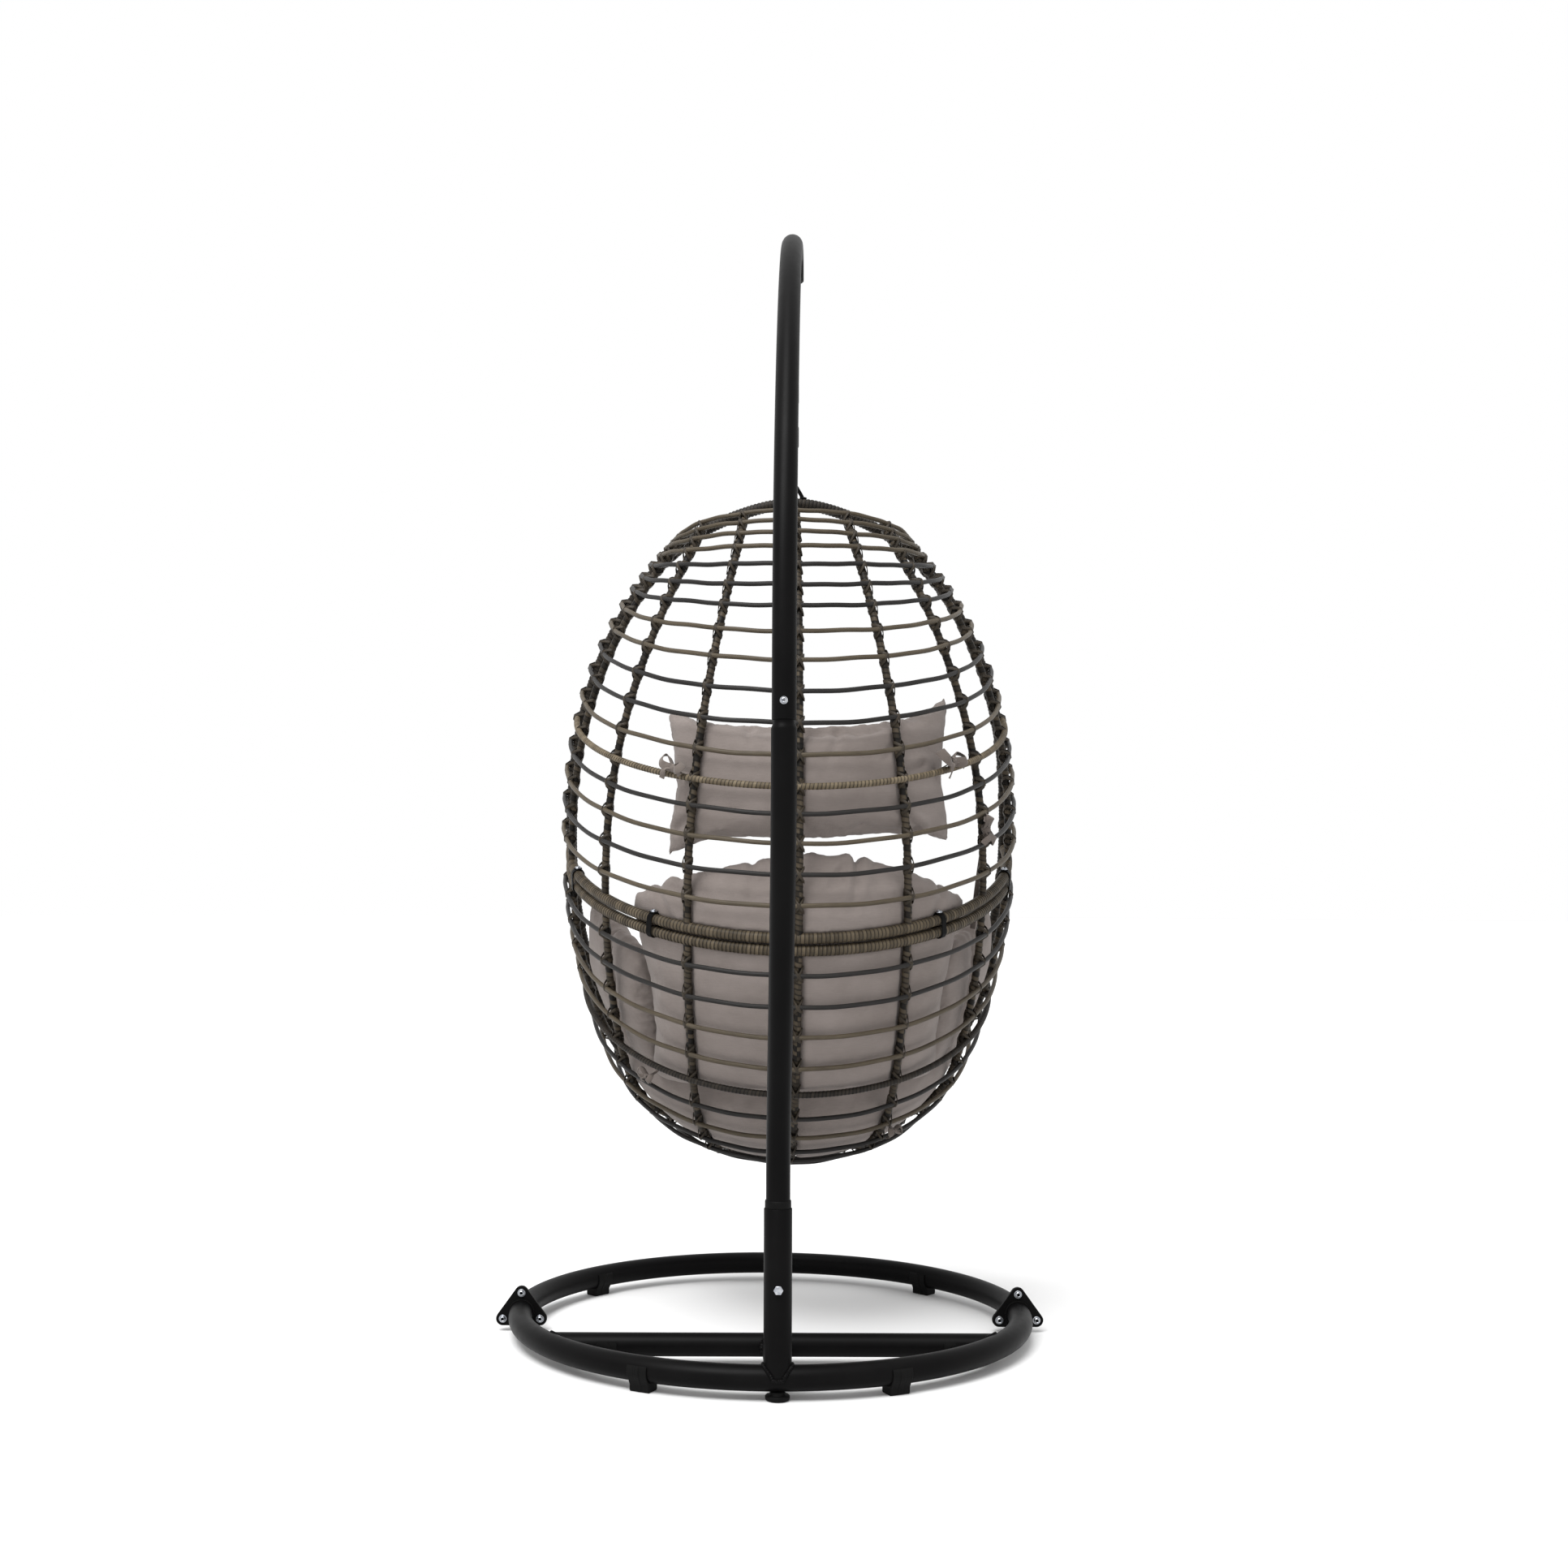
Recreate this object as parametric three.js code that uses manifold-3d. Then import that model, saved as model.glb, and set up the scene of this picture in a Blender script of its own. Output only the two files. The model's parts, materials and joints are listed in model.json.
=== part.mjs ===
// Hanging egg chair on a C-shaped stand. Millimetres, +Z up, floor at z = 0.
// The open front of the basket faces -Y and the mast stands behind it at +Y.
// The origin is the middle of the object's footprint box, on the floor.

import * as THREE from 'three';
import { mergeVertices } from 'three/addons/utils/BufferGeometryUtils.js';
import { ConvexGeometry } from 'three/addons/geometries/ConvexGeometry.js';
import Module from 'manifold-3d';

const wasm = await Module();
wasm.setup();

const degrees = THREE.MathUtils.degToRad;

// ---------------------------------------------------------------- driving dimensions

const GAP = 0.3;               // clearance between pieces that touch
const PIN_GAP = 0.4;           // clearance between links that hang in each other

const RING_RADIUS = 454;       // centreline of the base ring
const RING_TUBE = 21;          // outer radius of the ring tube
const RING_BORE = 19;
const RING_HEIGHT = 35;        // centreline above the floor

const CROSSBAR_Y = 240;        // crossbar chord, measured from the ring's centre
const CROSSBAR_TUBE = 20;
const CROSSBAR_BORE = 18;

// Clip feet: angles from the ring's foremost and rearmost points, and places along the chord.
const FOOT_PLACES = {
  left: { front: degrees(44.6), rear: degrees(25), crossbar: 306 },
  right: { front: degrees(47.4), rear: degrees(28.2), crossbar: 283 },
};

const PLATE_THICKNESS = 4;     // flange plates that join the half rings
const PLATE_CORNER = 12.5;
const PLATE_BOLT_SPAN = 34;    // lower bolts, to each side of the tube's centre
const PLATE_BOLT_DROP = 12;
const PLATE_BOLT_RISE = 35;
const BOLT_RADIUS = 4;

const SOCKET_TUBE = 22.5;
const SOCKET_BORE = 21.2;
const SOCKET_TOP = 304;
const SOCKET_BOLT_HEIGHT = 179;
const COLLAR_TOP = 317;

const POST_TUBE = 19.3;
const POST_BORE = 17.5;
const POST_BOTTOM = 110;
const POST_BEND_START = 350;
const POST_TOP_Y = 650;        // the mast bulges back to here at the sleeve joint
const POST_SHOULDER = 1044;
const NECK_TUBE = 16.2;
const NECK_TOP = 1125;

const ARM_TUBE = 18.3;
const ARM_BORE = 16.6;
const ARM_BOTTOM = 1058;
const ARM_STRAIGHT = 90;       // vertical length of the sleeve before the bend
const ARM_TOP = 1960;
const ARM_TIP_BEND = 34;       // radius of the down-turned tip
const ARM_TURN = degrees(-3.35);
const ARM_SCREW_HEIGHT = 1085;

const CAP_THICKNESS = 4;
const EYE_RADIUS = 12;
const EYE_WIRE = 4;

const LINK_COUNT = 7;
const LINK_WIRE = 2.75;
const LINK_HALF_WIDTH = 7.5;   // wire centre to wire centre is twice this
const LINK_LENGTH = 45.6;      // between the wire centres of the two ends

const CARABINER_WIRE = 4;
const CARABINER_LENGTH = 82;   // between the wire centres of the two ends
const CARABINER_HALF_WIDTH = 13;
const GATE_LENGTH = 34;
const GATE_WIRE = 3.4;

const LOOP_WIRE = 3.5;
const LOOP_HALF_WIDTH = 22;
const HOOP_TUBE = 10;          // wicker-wrapped tube round the open front
const RIM_TUBE = 9;
const RIM_SPACING = 21;        // upper rim to lower rim, along the back
const RIB_TUBE = 6;
const BAND_TUBE = 6;           // the wrapped steel bands among the slats
const SKIN_OUTSETS = [13, 14.4]; // inner and outer face of the slats' skin, outside the ribs

const UPPER_SLATS = 17;
const UPPER_BAND = 12;         // index of the wrapped band among the upper slats
const LOWER_SLATS = 14;         // steps from the lower rim to the hoop
const LOWER_LEAD = 0.4;         // of a step, that the first lower slat lies nearer the rim
const LOWER_BAND = 5;
const UPPER_CROWDING = 1.15;   // above 1, the slats lie closer together towards the top
const RIB_ANGLES = [-78, -53, -26.5, 0, 26.5, 53, 78];
const SKIN_EDGE = 84;          // degrees round the basket, to each side
const RIM_CLAMP_ANGLES = [-70, -36, 36, 70];

const SEAT_CLEARANCE = 16;     // from the ribs' centrelines to the seat cushion
const SEAT_WALL = 80;          // cushion thickness at its back and sides
const SEAT_FLOOR = 165;

const PILLOW_EDGE = 33;        // degrees round the basket, to each side
const PILLOW_TOP = 0.56;       // fraction of the way down the upper slats
const PILLOW_BOTTOM = 0.86;
const PILLOW_DEPTHS = [-85, -13]; // its front and back face, inside the ribs' centrelines

// ---------------------------------------------------------------- materials

const BLACK_STEEL = { color: 0x161616, roughness: 0.5, metalness: 0.6 };
const BLACK_PLASTIC = { color: 0x101010, roughness: 0.6, metalness: 0 };
const ZINC = { color: 0xb9bcc0, roughness: 0.35, metalness: 0.9 };
const TAUPE_WICKER = { color: 0x8a8073, roughness: 0.7, metalness: 0 };
const DARK_WICKER = { color: 0x5f5c58, roughness: 0.7, metalness: 0 };
const GREY_FABRIC = { color: 0x96908c, roughness: 0.95, metalness: 0 };

// ---------------------------------------------------------------- shape helpers

function circlePoints(radius, sides) {
  return Array.from({ length: sides }, (_, i) => {
    const angle = (i / sides) * 2 * Math.PI;
    return new THREE.Vector2(radius * Math.cos(angle), radius * Math.sin(angle));
  });
}

function roundSection(radius, sides, bore = 0, boreSides = 8) {
  const shape = new THREE.Shape(circlePoints(radius, sides));
  if (bore > 0) {
    shape.holes.push(new THREE.Path(circlePoints(bore, boreSides).reverse()));
  }
  return shape;
}

function tubeAlong(path, steps, section) {
  return new THREE.ExtrudeGeometry(section, { extrudePath: path, steps, bevelEnabled: false });
}

function straightTube(from, to, section) {
  return tubeAlong(new THREE.LineCurve3(from, to), 1, section);
}

function rod(from, to, radius, sides = 10) {
  return straightTube(from, to, roundSection(radius, sides));
}

function solidOf(geometry) {
  const bare = new THREE.BufferGeometry();
  bare.setAttribute('position', geometry.getAttribute('position').clone());
  if (geometry.index) {
    bare.setIndex(geometry.index.clone());
  }
  const merged = mergeVertices(bare, 1e-3);
  return new wasm.Manifold(new wasm.Mesh({
    numProp: 3,
    vertProperties: Float32Array.from(merged.getAttribute('position').array),
    triVerts: Uint32Array.from(merged.index.array),
  }));
}

function geometryOf(solid) {
  const mesh = solid.getMesh();
  const geometry = new THREE.BufferGeometry();
  geometry.setAttribute('position', new THREE.BufferAttribute(mesh.vertProperties, 3));
  geometry.setIndex(new THREE.BufferAttribute(mesh.triVerts, 1));
  geometry.computeVertexNormals();
  return geometry;
}

function cut(geometry, ...cutters) {
  return geometryOf(cutters.reduce((solid, cutter) => solid.subtract(solidOf(cutter)), solidOf(geometry)));
}

function join(...geometries) {
  return geometryOf(geometries.map(solidOf).reduce((all, solid) => all.add(solid)));
}

function turned(profile, segments) {
  const points = profile.map(([radius, height]) => new THREE.Vector2(radius, height));
  return new THREE.LatheGeometry(points, segments);
}

// A bolt along +Y: a domed head at y < 0, a shank, and a nut whose far face is at y = length.
function boltWithNut(radius, headRadius, headHeight, grip, segments = 8) {
  const nutFace = grip + 2 * GAP;
  const profile = [
    [0, -headHeight], [headRadius * 0.7, -headHeight * 0.85],
    [headRadius, -headHeight * 0.3], [headRadius, 0],
    [radius, 0], [radius, nutFace], [headRadius * 0.95, nutFace], [headRadius * 0.95, nutFace + headHeight],
    [0, nutFace + headHeight],
  ];
  return turned(profile, segments);
}

class HorizontalArc extends THREE.Curve {
  constructor(radius, height, from, to) {
    super();
    Object.assign(this, { radius, height, from, to });
  }

  getPoint(t, target = new THREE.Vector3()) {
    const angle = this.from + (this.to - this.from) * t;
    return target.set(this.radius * Math.cos(angle), this.radius * Math.sin(angle), this.height);
  }
}

// Part of a closed curve, measured along its length from 0 to 1.
class Portion extends THREE.Curve {
  constructor(curve, from, to) {
    super();
    Object.assign(this, { curve, from, to });
  }

  getPoint(t, target = new THREE.Vector3()) {
    const along = this.from + (this.to - this.from) * t;
    return this.curve.getPointAt(((along % 1) + 1) % 1, target);
  }
}

// Several curves in a row, each divided into its own number of steps.
class SteppedPath extends THREE.Curve {
  constructor(pieces) {
    super();
    this.pieces = pieces;
    this.steps = pieces.reduce((sum, [, steps]) => sum + steps, 0);
  }

  getUtoTmapping(u) {
    return u;
  }

  getPoint(t, target = new THREE.Vector3()) {
    let along = t * this.steps;
    for (const [curve, steps] of this.pieces) {
      if (along <= steps + 1e-9) {
        return curve.getPoint(along / steps, target);
      }
      along -= steps;
    }
    return this.pieces.at(-1)[0].getPoint(1, target);
  }
}

function steppedTube(pieces, section) {
  const path = new SteppedPath(pieces);
  return tubeAlong(path, path.steps, section);
}

// A wire ring in the XZ plane, drawn out along Z until its ends are this far apart between wire centres.
function wireLink(halfWidth, length, wire, sides, segments) {
  const link = new THREE.TorusGeometry(halfWidth, wire, sides, segments);
  link.rotateZ(Math.PI / segments);
  const place = link.getAttribute('position');
  const stretch = length / 2 - halfWidth;
  for (let i = 0; i < place.count; i += 1) {
    place.setY(i, place.getY(i) + Math.sign(place.getY(i)) * stretch);
  }
  return geometryOf(solidOf(link.rotateX(Math.PI / 2)));
}

function part(name, geometry, material, parent, position = [0, 0, 0], rotation = [0, 0, 0]) {
  const mesh = new THREE.Mesh(geometry, new THREE.MeshStandardMaterial(material));
  mesh.name = name;
  mesh.position.set(...position);
  mesh.rotation.set(...rotation);
  parent.add(mesh);
  return mesh;
}

// ---------------------------------------------------------------- base ring

const base = new THREE.Group();
const plateFace = PLATE_THICKNESS + 2 * GAP;          // where a half ring's tube starts
const ringEndAngle = Math.asin(plateFace / RING_RADIUS);

const SIDES = [['left', -1], ['right', 1]];
const HALVES = [['rear', 1], ['front', -1]];

const ringArc = (from, to) => new HorizontalArc(RING_RADIUS, RING_HEIGHT, from, to);
const RING_STEPS = 20;
const rearArc = ringArc(ringEndAngle, Math.PI - ringEndAngle);
const frontArc = ringArc(-ringEndAngle, -Math.PI + ringEndAngle);
const halfRingCutter = (arc) => tubeAlong(arc, RING_STEPS, roundSection(RING_TUBE + 1.5 * GAP, 12));
const ringCutter = halfRingCutter(rearArc);

function addRing() {
  const section = roundSection(RING_TUBE, 12, RING_BORE, 6);
  part('ring_rear', tubeAlong(rearArc, RING_STEPS, section), BLACK_STEEL, base);
  part('ring_front', tubeAlong(frontArc, RING_STEPS, section), BLACK_STEEL, base);
}

function plateShape() {
  const shape = new THREE.Shape();
  const corners = [
    [PLATE_BOLT_SPAN, -PLATE_BOLT_DROP, -Math.PI / 2, 0.6],
    [0, PLATE_BOLT_RISE, 0.6, Math.PI - 0.6],
    [-PLATE_BOLT_SPAN, -PLATE_BOLT_DROP, Math.PI - 0.6, 1.5 * Math.PI],
  ];
  for (const [x, y, from, to] of corners) {
    shape.absarc(x, y, PLATE_CORNER, from, to, false);
    const hole = circlePoints(BOLT_RADIUS + 2 * GAP, 8).map((point) => point.add(new THREE.Vector2(x, y)));
    shape.holes.push(new THREE.Path(hole.reverse()));
  }
  return shape;
}

function addFlanges() {
  const plate = new THREE.ExtrudeGeometry(plateShape(), {
    depth: PLATE_THICKNESS, bevelEnabled: false, curveSegments: 3,
  });
  const grip = 2 * PLATE_THICKNESS + 2 * GAP;
  const bolt = boltWithNut(BOLT_RADIUS, 6.6, 5, grip);
  const boltPlaces = [
    ['top', 0, PLATE_BOLT_RISE], ['outer', 1, -PLATE_BOLT_DROP], ['inner', -1, -PLATE_BOLT_DROP],
  ];
  for (const [sideName, side] of SIDES) {
    const x = side * RING_RADIUS;
    for (const [halfName, half] of HALVES) {
      const face = half > 0 ? GAP / 2 + PLATE_THICKNESS : -GAP / 2;
      const name = `flange_${halfName}_${sideName}`;
      part(name, plate, BLACK_STEEL, base, [x, face, RING_HEIGHT], [Math.PI / 2, 0, 0]);
    }
    for (const [boltName, along, height] of boltPlaces) {
      const place = [x + side * along * PLATE_BOLT_SPAN, grip / 2 + GAP / 2, RING_HEIGHT + height];
      part(`flange_bolt_${boltName}_${sideName}`, bolt, ZINC, base, place, [0, 0, Math.PI]);
    }
  }
}

function crossbarBlank(radius) {
  const reach = Math.sqrt(RING_RADIUS ** 2 - CROSSBAR_Y ** 2);
  const ends = [-1, 1].map((side) => new THREE.Vector3(side * reach, CROSSBAR_Y, RING_HEIGHT));
  const bore = radius > CROSSBAR_TUBE ? 0 : CROSSBAR_BORE;
  return straightTube(ends[0], ends[1], roundSection(radius, 14, bore, 10));
}

const socketAxis = (z) => new THREE.Vector3(0, RING_RADIUS, z);

function addCrossbar() {
  part('crossbar', cut(crossbarBlank(CROSSBAR_TUBE), ringCutter), BLACK_STEEL, base);
  const link = straightTube(
    new THREE.Vector3(0, CROSSBAR_Y, RING_HEIGHT),
    new THREE.Vector3(0, RING_RADIUS, RING_HEIGHT),
    roundSection(CROSSBAR_TUBE, 14, CROSSBAR_BORE, 10),
  );
  const socketCutter = rod(socketAxis(0), socketAxis(100), SOCKET_TUBE + GAP, 16);
  const shaped = cut(link, ringCutter, crossbarBlank(CROSSBAR_TUBE + GAP), socketCutter);
  part('link_tube', shaped, BLACK_STEEL, base);
}

function clipShape() {
  const inner = RING_TUBE + 0.6;
  const outer = inner + 3;
  const blockHalf = 14;
  const blockAngle = Math.acos(blockHalf / outer);
  const lip = degrees(22);
  const shape = new THREE.Shape();
  shape.absarc(0, 0, inner, lip, Math.PI - lip, true);
  shape.absarc(0, 0, outer, Math.PI - lip, Math.PI + blockAngle, false);
  shape.lineTo(-blockHalf, -RING_HEIGHT);
  shape.lineTo(blockHalf, -RING_HEIGHT);
  shape.absarc(0, 0, outer, 2 * Math.PI - blockAngle, 2 * Math.PI + lip, false);
  return shape;
}

// Clip feet: two on the front half ring, two on the rear half and two on the crossbar.
function addFeet() {
  const length = 36;
  const settings = { depth: length, bevelEnabled: false, curveSegments: 4 };
  const clip = new THREE.ExtrudeGeometry(clipShape(), settings);
  clip.translate(0, 0, -length / 2);
  clip.rotateX(Math.PI / 2);
  const cutters = { front: halfRingCutter(frontArc), rear: ringCutter };
  for (const [sideName, side] of SIDES) {
    const feet = FOOT_PLACES[sideName];
    const angles = {
      front: -Math.PI / 2 + side * feet.front,
      rear: Math.PI / 2 - side * feet.rear,
    };
    for (const [name, angle] of Object.entries(angles)) {
      const seated = clip.clone().rotateZ(angle);
      seated.translate(RING_RADIUS * Math.cos(angle), RING_RADIUS * Math.sin(angle), RING_HEIGHT);
      part(`foot_${name}_${sideName}`, cut(seated, cutters[name]), BLACK_PLASTIC, base);
    }
    const place = [side * feet.crossbar, CROSSBAR_Y, RING_HEIGHT];
    part(`foot_crossbar_${sideName}`, clip, BLACK_PLASTIC, base, place, [0, 0, Math.PI / 2]);
  }
  const padTop = RING_HEIGHT - RING_TUBE - GAP;
  const pad = turned([[0, 0], [18, 0], [20, 3], [20, 8], [12, padTop - 1], [12, padTop], [0, padTop]], 14);
  part('foot_pad_mast', pad, BLACK_PLASTIC, base, [0, RING_RADIUS, 0], [Math.PI / 2, 0, 0]);
}

// ---------------------------------------------------------------- mast

const stand = new THREE.Group();

const boltCutter = (y, z, radius) => rod(
  new THREE.Vector3(0, y - 60, z), new THREE.Vector3(0, y + 60, z), radius + GAP, 10);

function hexHead(y, z, acrossFlats, height) {
  const head = new THREE.CylinderGeometry(acrossFlats / Math.sqrt(3), acrossFlats / Math.sqrt(3), height, 6);
  head.translate(0, y, z);
  return head;
}

function addSocket() {
  const section = roundSection(SOCKET_TUBE, 16, SOCKET_BORE, 16);
  const tube = straightTube(socketAxis(RING_HEIGHT + 12), socketAxis(SOCKET_TOP), section);
  const socket = cut(tube, ringCutter, boltCutter(RING_RADIUS, SOCKET_BOLT_HEIGHT, BOLT_RADIUS));
  part('mast_socket', socket, BLACK_STEEL, stand);

  const collarBore = POST_TUBE + 2 * GAP;
  const wall = roundSection(SOCKET_BORE - 2 * GAP, 16, collarBore, 16);
  const sleeve = straightTube(socketAxis(SOCKET_TOP - 30), socketAxis(COLLAR_TOP), wall);
  part('socket_collar', sleeve, BLACK_PLASTIC, stand);
}

function addSocketBolt() {
  const half = SOCKET_TUBE + GAP;
  const headHeight = 5.5;
  const shank = rod(
    new THREE.Vector3(0, -half - 4, 0), new THREE.Vector3(0, half + 4, 0), BOLT_RADIUS, 8);
  const bolt = join(shank, hexHead(half + headHeight / 2, 0, 13.5, headHeight), hexHead(-half - 3, 0, 13, 6));
  part('socket_bolt', bolt, ZINC, stand, [0, RING_RADIUS, SOCKET_BOLT_HEIGHT]);
}

// The lower post: straight in its socket, then swept back, with a swaged neck on top.
function addLowerPost() {
  const bendStart = socketAxis(POST_BEND_START);
  const bend = new THREE.CubicBezierCurve3(
    bendStart,
    socketAxis(POST_BEND_START + 150),
    new THREE.Vector3(0, POST_TOP_Y, POST_SHOULDER - 320),
    new THREE.Vector3(0, POST_TOP_Y, POST_SHOULDER - 30),
  );
  const foot = new THREE.LineCurve3(socketAxis(POST_BOTTOM), bendStart);
  const tube = steppedTube([[foot, 1], [bend, 13]], roundSection(POST_TUBE, 14, POST_BORE, 7));
  const neckBase = POST_SHOULDER - 36;
  const neck = turned([
    [NECK_TUBE - 1.8, neckBase], [POST_TUBE, neckBase],
    [POST_TUBE, POST_SHOULDER], [POST_TUBE - 1, POST_SHOULDER + 4],
    [NECK_TUBE, POST_SHOULDER + 8], [NECK_TUBE, NECK_TOP], [NECK_TUBE - 1.8, NECK_TOP],
    [NECK_TUBE - 1.8, neckBase],
  ], 14);
  neck.rotateX(Math.PI / 2);
  neck.translate(0, POST_TOP_Y, 0);
  const post = join(tube, neck);
  const screwHole = boltCutter(0, ARM_SCREW_HEIGHT, 2.9).rotateZ(ARM_TURN).translate(0, POST_TOP_Y, 0);
  const boltHole = boltCutter(RING_RADIUS, SOCKET_BOLT_HEIGHT, BOLT_RADIUS);
  part('lower_post', cut(post, boltHole, screwHole), BLACK_STEEL, stand);
}

// The upper arm hangs over the ring's centre. Its group's origin is the sleeve joint's axis at floor level.
const arm = new THREE.Group();
arm.position.set(0, POST_TOP_Y, 0);
arm.rotation.z = ARM_TURN;
const armReach = POST_TOP_Y / Math.cos(ARM_TURN);
const hangX = armReach * Math.sin(ARM_TURN);
const tipHeight = ARM_TOP - ARM_TIP_BEND;

function armPoint(forward, z) {
  return new THREE.Vector3(0, -forward, z);
}

function armPieces() {
  const bendStart = ARM_BOTTOM + ARM_STRAIGHT;
  const crest = armReach - ARM_TIP_BEND;
  const sleeve = new THREE.LineCurve3(armPoint(0, ARM_BOTTOM), armPoint(0, bendStart));
  const sweep = new THREE.CubicBezierCurve3(
    armPoint(0, bendStart), armPoint(0, bendStart + 370),
    armPoint(crest - 290, ARM_TOP - 8), armPoint(crest, ARM_TOP));
  return [[sleeve, 1], [sweep, 18], [new TipBend(), 5]];
}

class TipBend extends THREE.Curve {
  getPoint(t, target = new THREE.Vector3()) {
    const angle = (Math.PI / 2) * (1 - t);
    const forward = armReach - ARM_TIP_BEND + ARM_TIP_BEND * Math.cos(angle);
    return target.copy(armPoint(forward, tipHeight + ARM_TIP_BEND * Math.sin(angle)));
  }
}

function addArm() {
  const tube = steppedTube(armPieces(), roundSection(ARM_TUBE, 14, ARM_BORE - 1, 7));
  const sleeveBore = rod(armPoint(0, ARM_BOTTOM - 10), armPoint(0, NECK_TOP + 6), ARM_BORE, 14);
  const tipBore = rod(armPoint(armReach, tipHeight - 10), armPoint(armReach, tipHeight + 9), ARM_BORE, 14);
  const screw = boltCutter(0, ARM_SCREW_HEIGHT, 2.9);
  part('upper_arm', cut(tube, sleeveBore, tipBore, screw), BLACK_STEEL, arm);

  const half = ARM_TUBE + GAP;
  const armScrew = turned([
    [0, -half - 4.5], [3.5, -half - 4.3], [5.8, -half - 1.5], [5.8, -half], [2.9, -half], [2.9, half],
    [5.5, half], [5.5, half + 4], [0, half + 4],
  ], 10);
  part('arm_screw', armScrew, ZINC, arm, [0, 0, ARM_SCREW_HEIGHT], [0, 0, Math.PI]);
}

const capBottom = tipHeight - GAP - CAP_THICKNESS;
const eyeHeight = capBottom - GAP - 2 - EYE_RADIUS - EYE_WIRE;

function addTipFittings() {
  const plug = ARM_BORE * Math.cos(Math.PI / 14) - GAP;
  const cap = turned([
    [5.6, capBottom], [ARM_TUBE - 1.5, capBottom], [ARM_TUBE, capBottom + 2], [ARM_TUBE, tipHeight - GAP],
    [plug, tipHeight - GAP], [plug, tipHeight + 7], [5.6, tipHeight + 7], [5.6, capBottom],
  ], 12);
  cap.rotateX(Math.PI / 2);
  part('arm_end_cap', cap, BLACK_PLASTIC, arm, [0, -armReach, 0]);

  const ring = wireLink(EYE_RADIUS, 2 * EYE_RADIUS, EYE_WIRE, 8, 12);
  ring.rotateZ(Math.PI / 2);
  ring.translate(0, 0, eyeHeight);
  const shank = rod(
    new THREE.Vector3(0, 0, eyeHeight + EYE_RADIUS), new THREE.Vector3(0, 0, tipHeight + 6), 5, 8);
  part('hanging_eye', join(ring, shank), ZINC, arm, [0, -armReach, 0]);
}

// ---------------------------------------------------------------- chain and carabiner

const hanger = new THREE.Group();
hanger.position.set(hangX, 0, 0);
const eyePivot = eyeHeight - EYE_RADIUS;
const firstLinkTop = eyePivot + EYE_WIRE + PIN_GAP + LINK_WIRE;
const linkStep = LINK_LENGTH - 2 * LINK_WIRE - PIN_GAP;
const linkTop = (i) => firstLinkTop - i * linkStep;
const lastLinkBottom = linkTop(LINK_COUNT - 1) - LINK_LENGTH;
const carabinerTop = lastLinkBottom + LINK_WIRE + PIN_GAP + CARABINER_WIRE;
const carabinerBottom = carabinerTop - CARABINER_LENGTH;
const loopTop = carabinerBottom + CARABINER_WIRE + PIN_GAP + LOOP_WIRE;
const hoopApex = loopTop - 32;

function addChain() {
  const link = wireLink(LINK_HALF_WIDTH, LINK_LENGTH, LINK_WIRE, 6, 10);
  for (let i = 0; i < LINK_COUNT; i += 1) {
    const turn = i % 2 === 0 ? 0 : Math.PI / 2;
    const place = [0, 0, linkTop(i) - LINK_LENGTH / 2];
    part(`chain_link_${i + 1}`, link, BLACK_STEEL, hanger, place, [0, 0, turn]);
  }
}

// Half the outline of a pin with hemispherical ends, so that it can turn about either end's centre.
function roundEndedProfile(radius, length) {
  const end = [0, 30, 60, 90].map(degrees).map((angle) => [
    radius * Math.sin(angle), length / 2 - radius + radius * Math.cos(angle),
  ]);
  const lower = end.map(([across, along]) => [across, -along]);
  return [...lower, ...end.reverse()];
}

// The carabiner's gate closes its +X side before the group is turned into the YZ plane.
function addCarabiner() {
  const middle = (carabinerTop + carabinerBottom) / 2;
  const side = CARABINER_HALF_WIDTH;
  const ring = wireLink(side, CARABINER_LENGTH, CARABINER_WIRE, 8, 12);
  const mouth = new THREE.BoxGeometry(14, 14, GATE_LENGTH + 2 * GAP);
  mouth.translate(side, 0, 0);
  part('carabiner_body', cut(ring, mouth), ZINC, hanger, [0, 0, middle], [0, 0, Math.PI / 2]);
  const gate = turned(roundEndedProfile(GATE_WIRE, GATE_LENGTH), 8);
  gate.rotateX(Math.PI / 2);
  gate.translate(side, 0, 0);
  part('carabiner_gate', gate, ZINC, hanger, [0, 0, middle], [0, 0, Math.PI / 2]);
}

// ---------------------------------------------------------------- basket

const basket = new THREE.Group();
basket.position.set(hangX, 0, hoopApex);

// Right half of the front hoop, from its apex to its lowest point: x, y, z from the apex.
const HOOP_SIDE = [
  [101, -9, -20], [201, -27, -70], [288, -56, -160], [359, -95, -285],
  [401, -141, -420], [418, -190, -560], [416, -235, -710], [391, -277, -850],
  [352, -310, -972], [283, -338, -1070], [188, -357, -1137], [97, -366, -1164],
];
const HOOP_BOTTOM = [0, -368, -1172];

// The back's outline in the middle plane, from the apex round the back to the hoop's lowest point: y, z.
const BACK_LINE = [
  [0, 0], [93, -34], [184, -117], [250, -232], [293, -382], [310, -552], [307, -712],
  [279, -862], [218, -1012], [113, -1132], [-20, -1196], [-140, -1208], [-260, -1198], [-368, -1172],
];

const vector = ([x, y, z]) => new THREE.Vector3(x, y, z);
const mirrored = ([x, y, z]) => new THREE.Vector3(-x, y, z);
const otherSide = HOOP_SIDE.map(mirrored).reverse();
const HOOP = new THREE.CatmullRomCurve3(
  [new THREE.Vector3(), ...HOOP_SIDE.map(vector), vector(HOOP_BOTTOM), ...otherSide], true);
const BACK = new THREE.CatmullRomCurve3(BACK_LINE.map(([y, z]) => new THREE.Vector3(0, y, z)));
HOOP.arcLengthDivisions = 600;
BACK.arcLengthDivisions = 600;

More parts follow.
